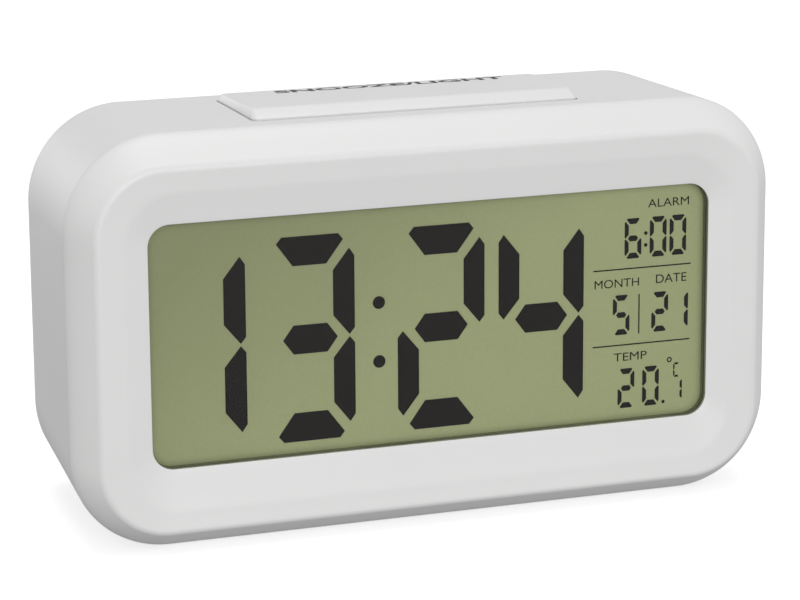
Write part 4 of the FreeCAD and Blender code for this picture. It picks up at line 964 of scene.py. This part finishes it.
# Name, tone, nodes.
LEADS = (
    ("lead red", (0.55, 0.02, 0.02), ("battery_lead_positive",)),
    ("lead black", (0.02, 0.02, 0.02), ("battery_lead_negative", "sounder_leads")),
    ("lead grey", (0.35, 0.35, 0.36), ("snooze_leads", "key_ribbon")),
)
# Name, tone, roughness, share of light let through, nodes.
FILMS = (
    ("glass plate", (0.80, 0.86, 0.83), 0.03, 0.8, ("lcd_front_glass", "lcd_rear_glass")),
    ("rear film", (0.45, 0.47, 0.42), 0.2, 0.4, ("rear_polariser",)),
    ("guide acrylic", (0.90, 0.93, 0.95), 0.06, 0.8, ("light_guide",)),
)


class CLOCK_OT_inner(bpy.types.Operator):
    """Finishes every part inside the case"""

    bl_idname = "clock.inner"
    bl_label = "Parts inside"

    def execute(self, context):
        dress(circuit_board("board green", (0.012, 0.09, 0.035, 1), (0.05, 0.19, 0.06, 1)),
              "main_board", "snooze_board", "key_board")
        dress(banded_jacket("cell jacket", (0.03, 0.03, 0.035, 1), (0.30, 0.33, 0.35, 1)), "battery_cells")
        for name, tone, rough, grain, depth, contrast, nodes in PLASTICS:
            dress(moulded(name, (*tone, 1), rough, grain, depth, contrast=contrast), *nodes)
        for name, tone, rough, nodes in METALS:
            dress(brushed(name, (*tone, 1), rough), *nodes)
        for name, tone, nodes in LEADS:
            dress(ribbed_leads(name, (*tone, 1)), *nodes)
        for name, tone, rough, through, nodes in FILMS:
            dress(clear_film(name, (*tone, 1), rough, pass_through=through), *nodes)
        return {"FINISHED"}


# ---------------------------------------------------------------- stage
def area_light(name, place, target, size, power):
    """Square soft light at a place, turned to a target."""
    light = bpy.data.lights.new(name, "AREA")
    light.size = size
    light.energy = power
    lamp = bpy.data.objects.new(name, light)
    lamp.location = place
    lamp.rotation_mode = "QUATERNION"
    lamp.rotation_quaternion = (Vector(target) - Vector(place)).to_track_quat("-Z", "Y")
    bpy.context.scene.collection.objects.link(lamp)


def turned(vector):
    """A direction of the face frame, leaned back with the clock."""
    x, y, z = vector
    c, s = math.cos(LEAN), math.sin(LEAN)
    return Vector((x, y * c + z * s, z * c - y * s))


class CLOCK_OT_stage(bpy.types.Operator):
    """Makes the floor, the soft light and the camera"""

    bl_idname = "clock.stage"
    bl_label = "Studio"

    def execute(self, context):
        studio = context.scene.clock_studio
        low, high = CAD_BOX
        centre = (low + high) / 2
        self.floor(studio, low[2] - 0.1 * MM)
        self.surroundings(studio)
        for name, towards, size, power in (("front light", (0, -0.990, 0.139), 0.8, studio.front_power),
                                           ("top light", (0, 0, 1), 1.1, studio.top_power),
                                           ("rear light", (-0.40, 0.91, 0.06), 0.8, studio.rear_power)):
            area_light(name, centre + turned(towards) * LIGHT_REACH, centre, size, power)
        self.camera(studio)
        context.scene.view_settings.view_transform = "Standard"
        return {"FINISHED"}

    @staticmethod
    def surroundings(studio):
        """Soft tent of light: brightest at the horizon, a little less overhead, dark underneath."""
        world = bpy.data.worlds.new("studio light")
        world.use_nodes = True
        tree = world.node_tree
        sky = tree.nodes["Background"]
        sky.inputs[1].default_value = studio.fill
        place = tree.nodes.new("ShaderNodeTexCoord")
        split = tree.nodes.new("ShaderNodeSeparateXYZ")
        height = tree.nodes.new("ShaderNodeMapRange")
        height.inputs["From Min"].default_value = -1.0
        band = tree.nodes.new("ShaderNodeValToRGB")
        for _ in range(3):
            band.color_ramp.elements.new(0.5)
        for stop, (at, level) in zip(band.color_ramp.elements,
                                     ((0.0, 0.02), (0.25, 0.41), (0.5, 0.63), (0.75, 0.63), (1.0, 0.40))):
            stop.position = at
            stop.color = (level, level, level, 1)
        tree.links.new(place.outputs["Generated"], split.inputs[0])
        tree.links.new(split.outputs[2], height.inputs["Value"])
        tree.links.new(height.outputs[0], band.inputs[0])
        tree.links.new(band.outputs[0], sky.inputs[0])
        bpy.context.scene.world = world

    @staticmethod
    def floor(studio, level):
        """Flat square sheet with the faintest mottling, a hair under the clock."""
        half = studio.floor_half
        mesh = bpy.data.meshes.new("floor")
        corners = [(-half, -half, level), (half, -half, level), (half, half, level), (-half, half, level)]
        mesh.from_pydata(corners, [], [(0, 1, 2, 3)])
        look = Finish("floor white")
        tone = tuple(studio.floor_tone)
        look.link("Base Color", look.ramp(look.noise(6.0), [(0.3, shade(tone, 0.99)), (0.7, tone)]))
        look.set(Roughness=0.9, Specular_IOR_Level=0.1, Emission_Color=(1, 1, 1, 1),
                 Emission_Strength=studio.floor_glow)
        mesh.materials.append(look.material)
        floor = bpy.data.objects.new("floor", mesh)
        bpy.context.scene.collection.objects.link(floor)
        floor.visible_diffuse = False
        floor.visible_glossy = False

    @staticmethod
    def camera(studio):
        """Camera on a sphere about the middle of the clock: yaw, pitch and roll against the face."""
        sy, cy = math.sin(studio.yaw), math.cos(studio.yaw)
        sp, cp = math.sin(studio.pitch), math.cos(studio.pitch)
        right, forward = Vector((cy, -sy, 0)), Vector((sy * cp, cy * cp, -sp))
        up = right.cross(forward)
        c, s = math.cos(studio.roll), math.sin(studio.roll)
        right, up = right * c + up * s, up * c - right * s
        target = Vector((0.0, 20.0 * MM, 36.98 * MM))
        place = target - forward * studio.distance - right * studio.aside + up * studio.above
        lens = bpy.data.cameras.new("camera")
        lens.sensor_width = 36.0
        lens.lens = studio.lens
        lens.clip_start = 0.01
        lens.clip_end = 50.0
        camera = bpy.data.objects.new("camera", lens)
        axes = [turned(right), turned(up), turned(-forward)]
        turn = Matrix([[axis[row] for axis in axes] for row in range(3)])
        camera.rotation_mode = "QUATERNION"
        camera.rotation_quaternion = turn.to_quaternion()
        camera.location = Vector(on_clock(np.array(place)).tolist())
        bpy.context.scene.collection.objects.link(camera)
        bpy.context.scene.camera = camera


class CLOCK_PT_pieces(bpy.types.Panel):
    """Lists the pieces of the clock"""

    bl_idname = "CLOCK_PT_pieces"
    bl_label = "Alarm clock"
    bl_space_type = "VIEW_3D"
    bl_region_type = "UI"
    bl_category = "Clock"

    def draw(self, context):
        for step in STEPS:
            self.layout.operator(step.bl_idname)
        for group in GROUPS:
            settings = getattr(context.scene, group)
            box = self.layout.box()
            for key in settings.bl_rna.properties.keys():
                if key not in ("rna_type", "name"):
                    box.prop(settings, key)


STEPS = (CLOCK_OT_bezel, CLOCK_OT_snooze, CLOCK_OT_display, CLOCK_OT_shell, CLOCK_OT_inner,
         CLOCK_OT_stage)
GROUPS = {"clock_case": ClockCase, "clock_bezel": ClockBezel, "clock_snooze": ClockSnooze,
          "clock_display": ClockDisplay, "clock_studio": ClockStudio}


def register():
    """Registers the settings, the operators and the panel."""
    for name, group in GROUPS.items():
        bpy.utils.register_class(group)
        setattr(bpy.types.Scene, name, PointerProperty(type=group))
    for step in STEPS:
        bpy.utils.register_class(step)
    bpy.utils.register_class(CLOCK_PT_pieces)


def unregister():
    """Takes back what register() did."""
    bpy.utils.unregister_class(CLOCK_PT_pieces)
    for step in reversed(STEPS):
        bpy.utils.unregister_class(step)
    for name, group in GROUPS.items():
        delattr(bpy.types.Scene, name)
        bpy.utils.unregister_class(group)


def main():
    """Makes every piece in order."""
    register()
    bpy.ops.clock.bezel()
    bpy.ops.clock.snooze()
    bpy.ops.clock.display()
    bpy.ops.clock.shell()
    bpy.ops.clock.inner()
    bpy.ops.clock.stage()


if __name__ == "__main__":
    main()
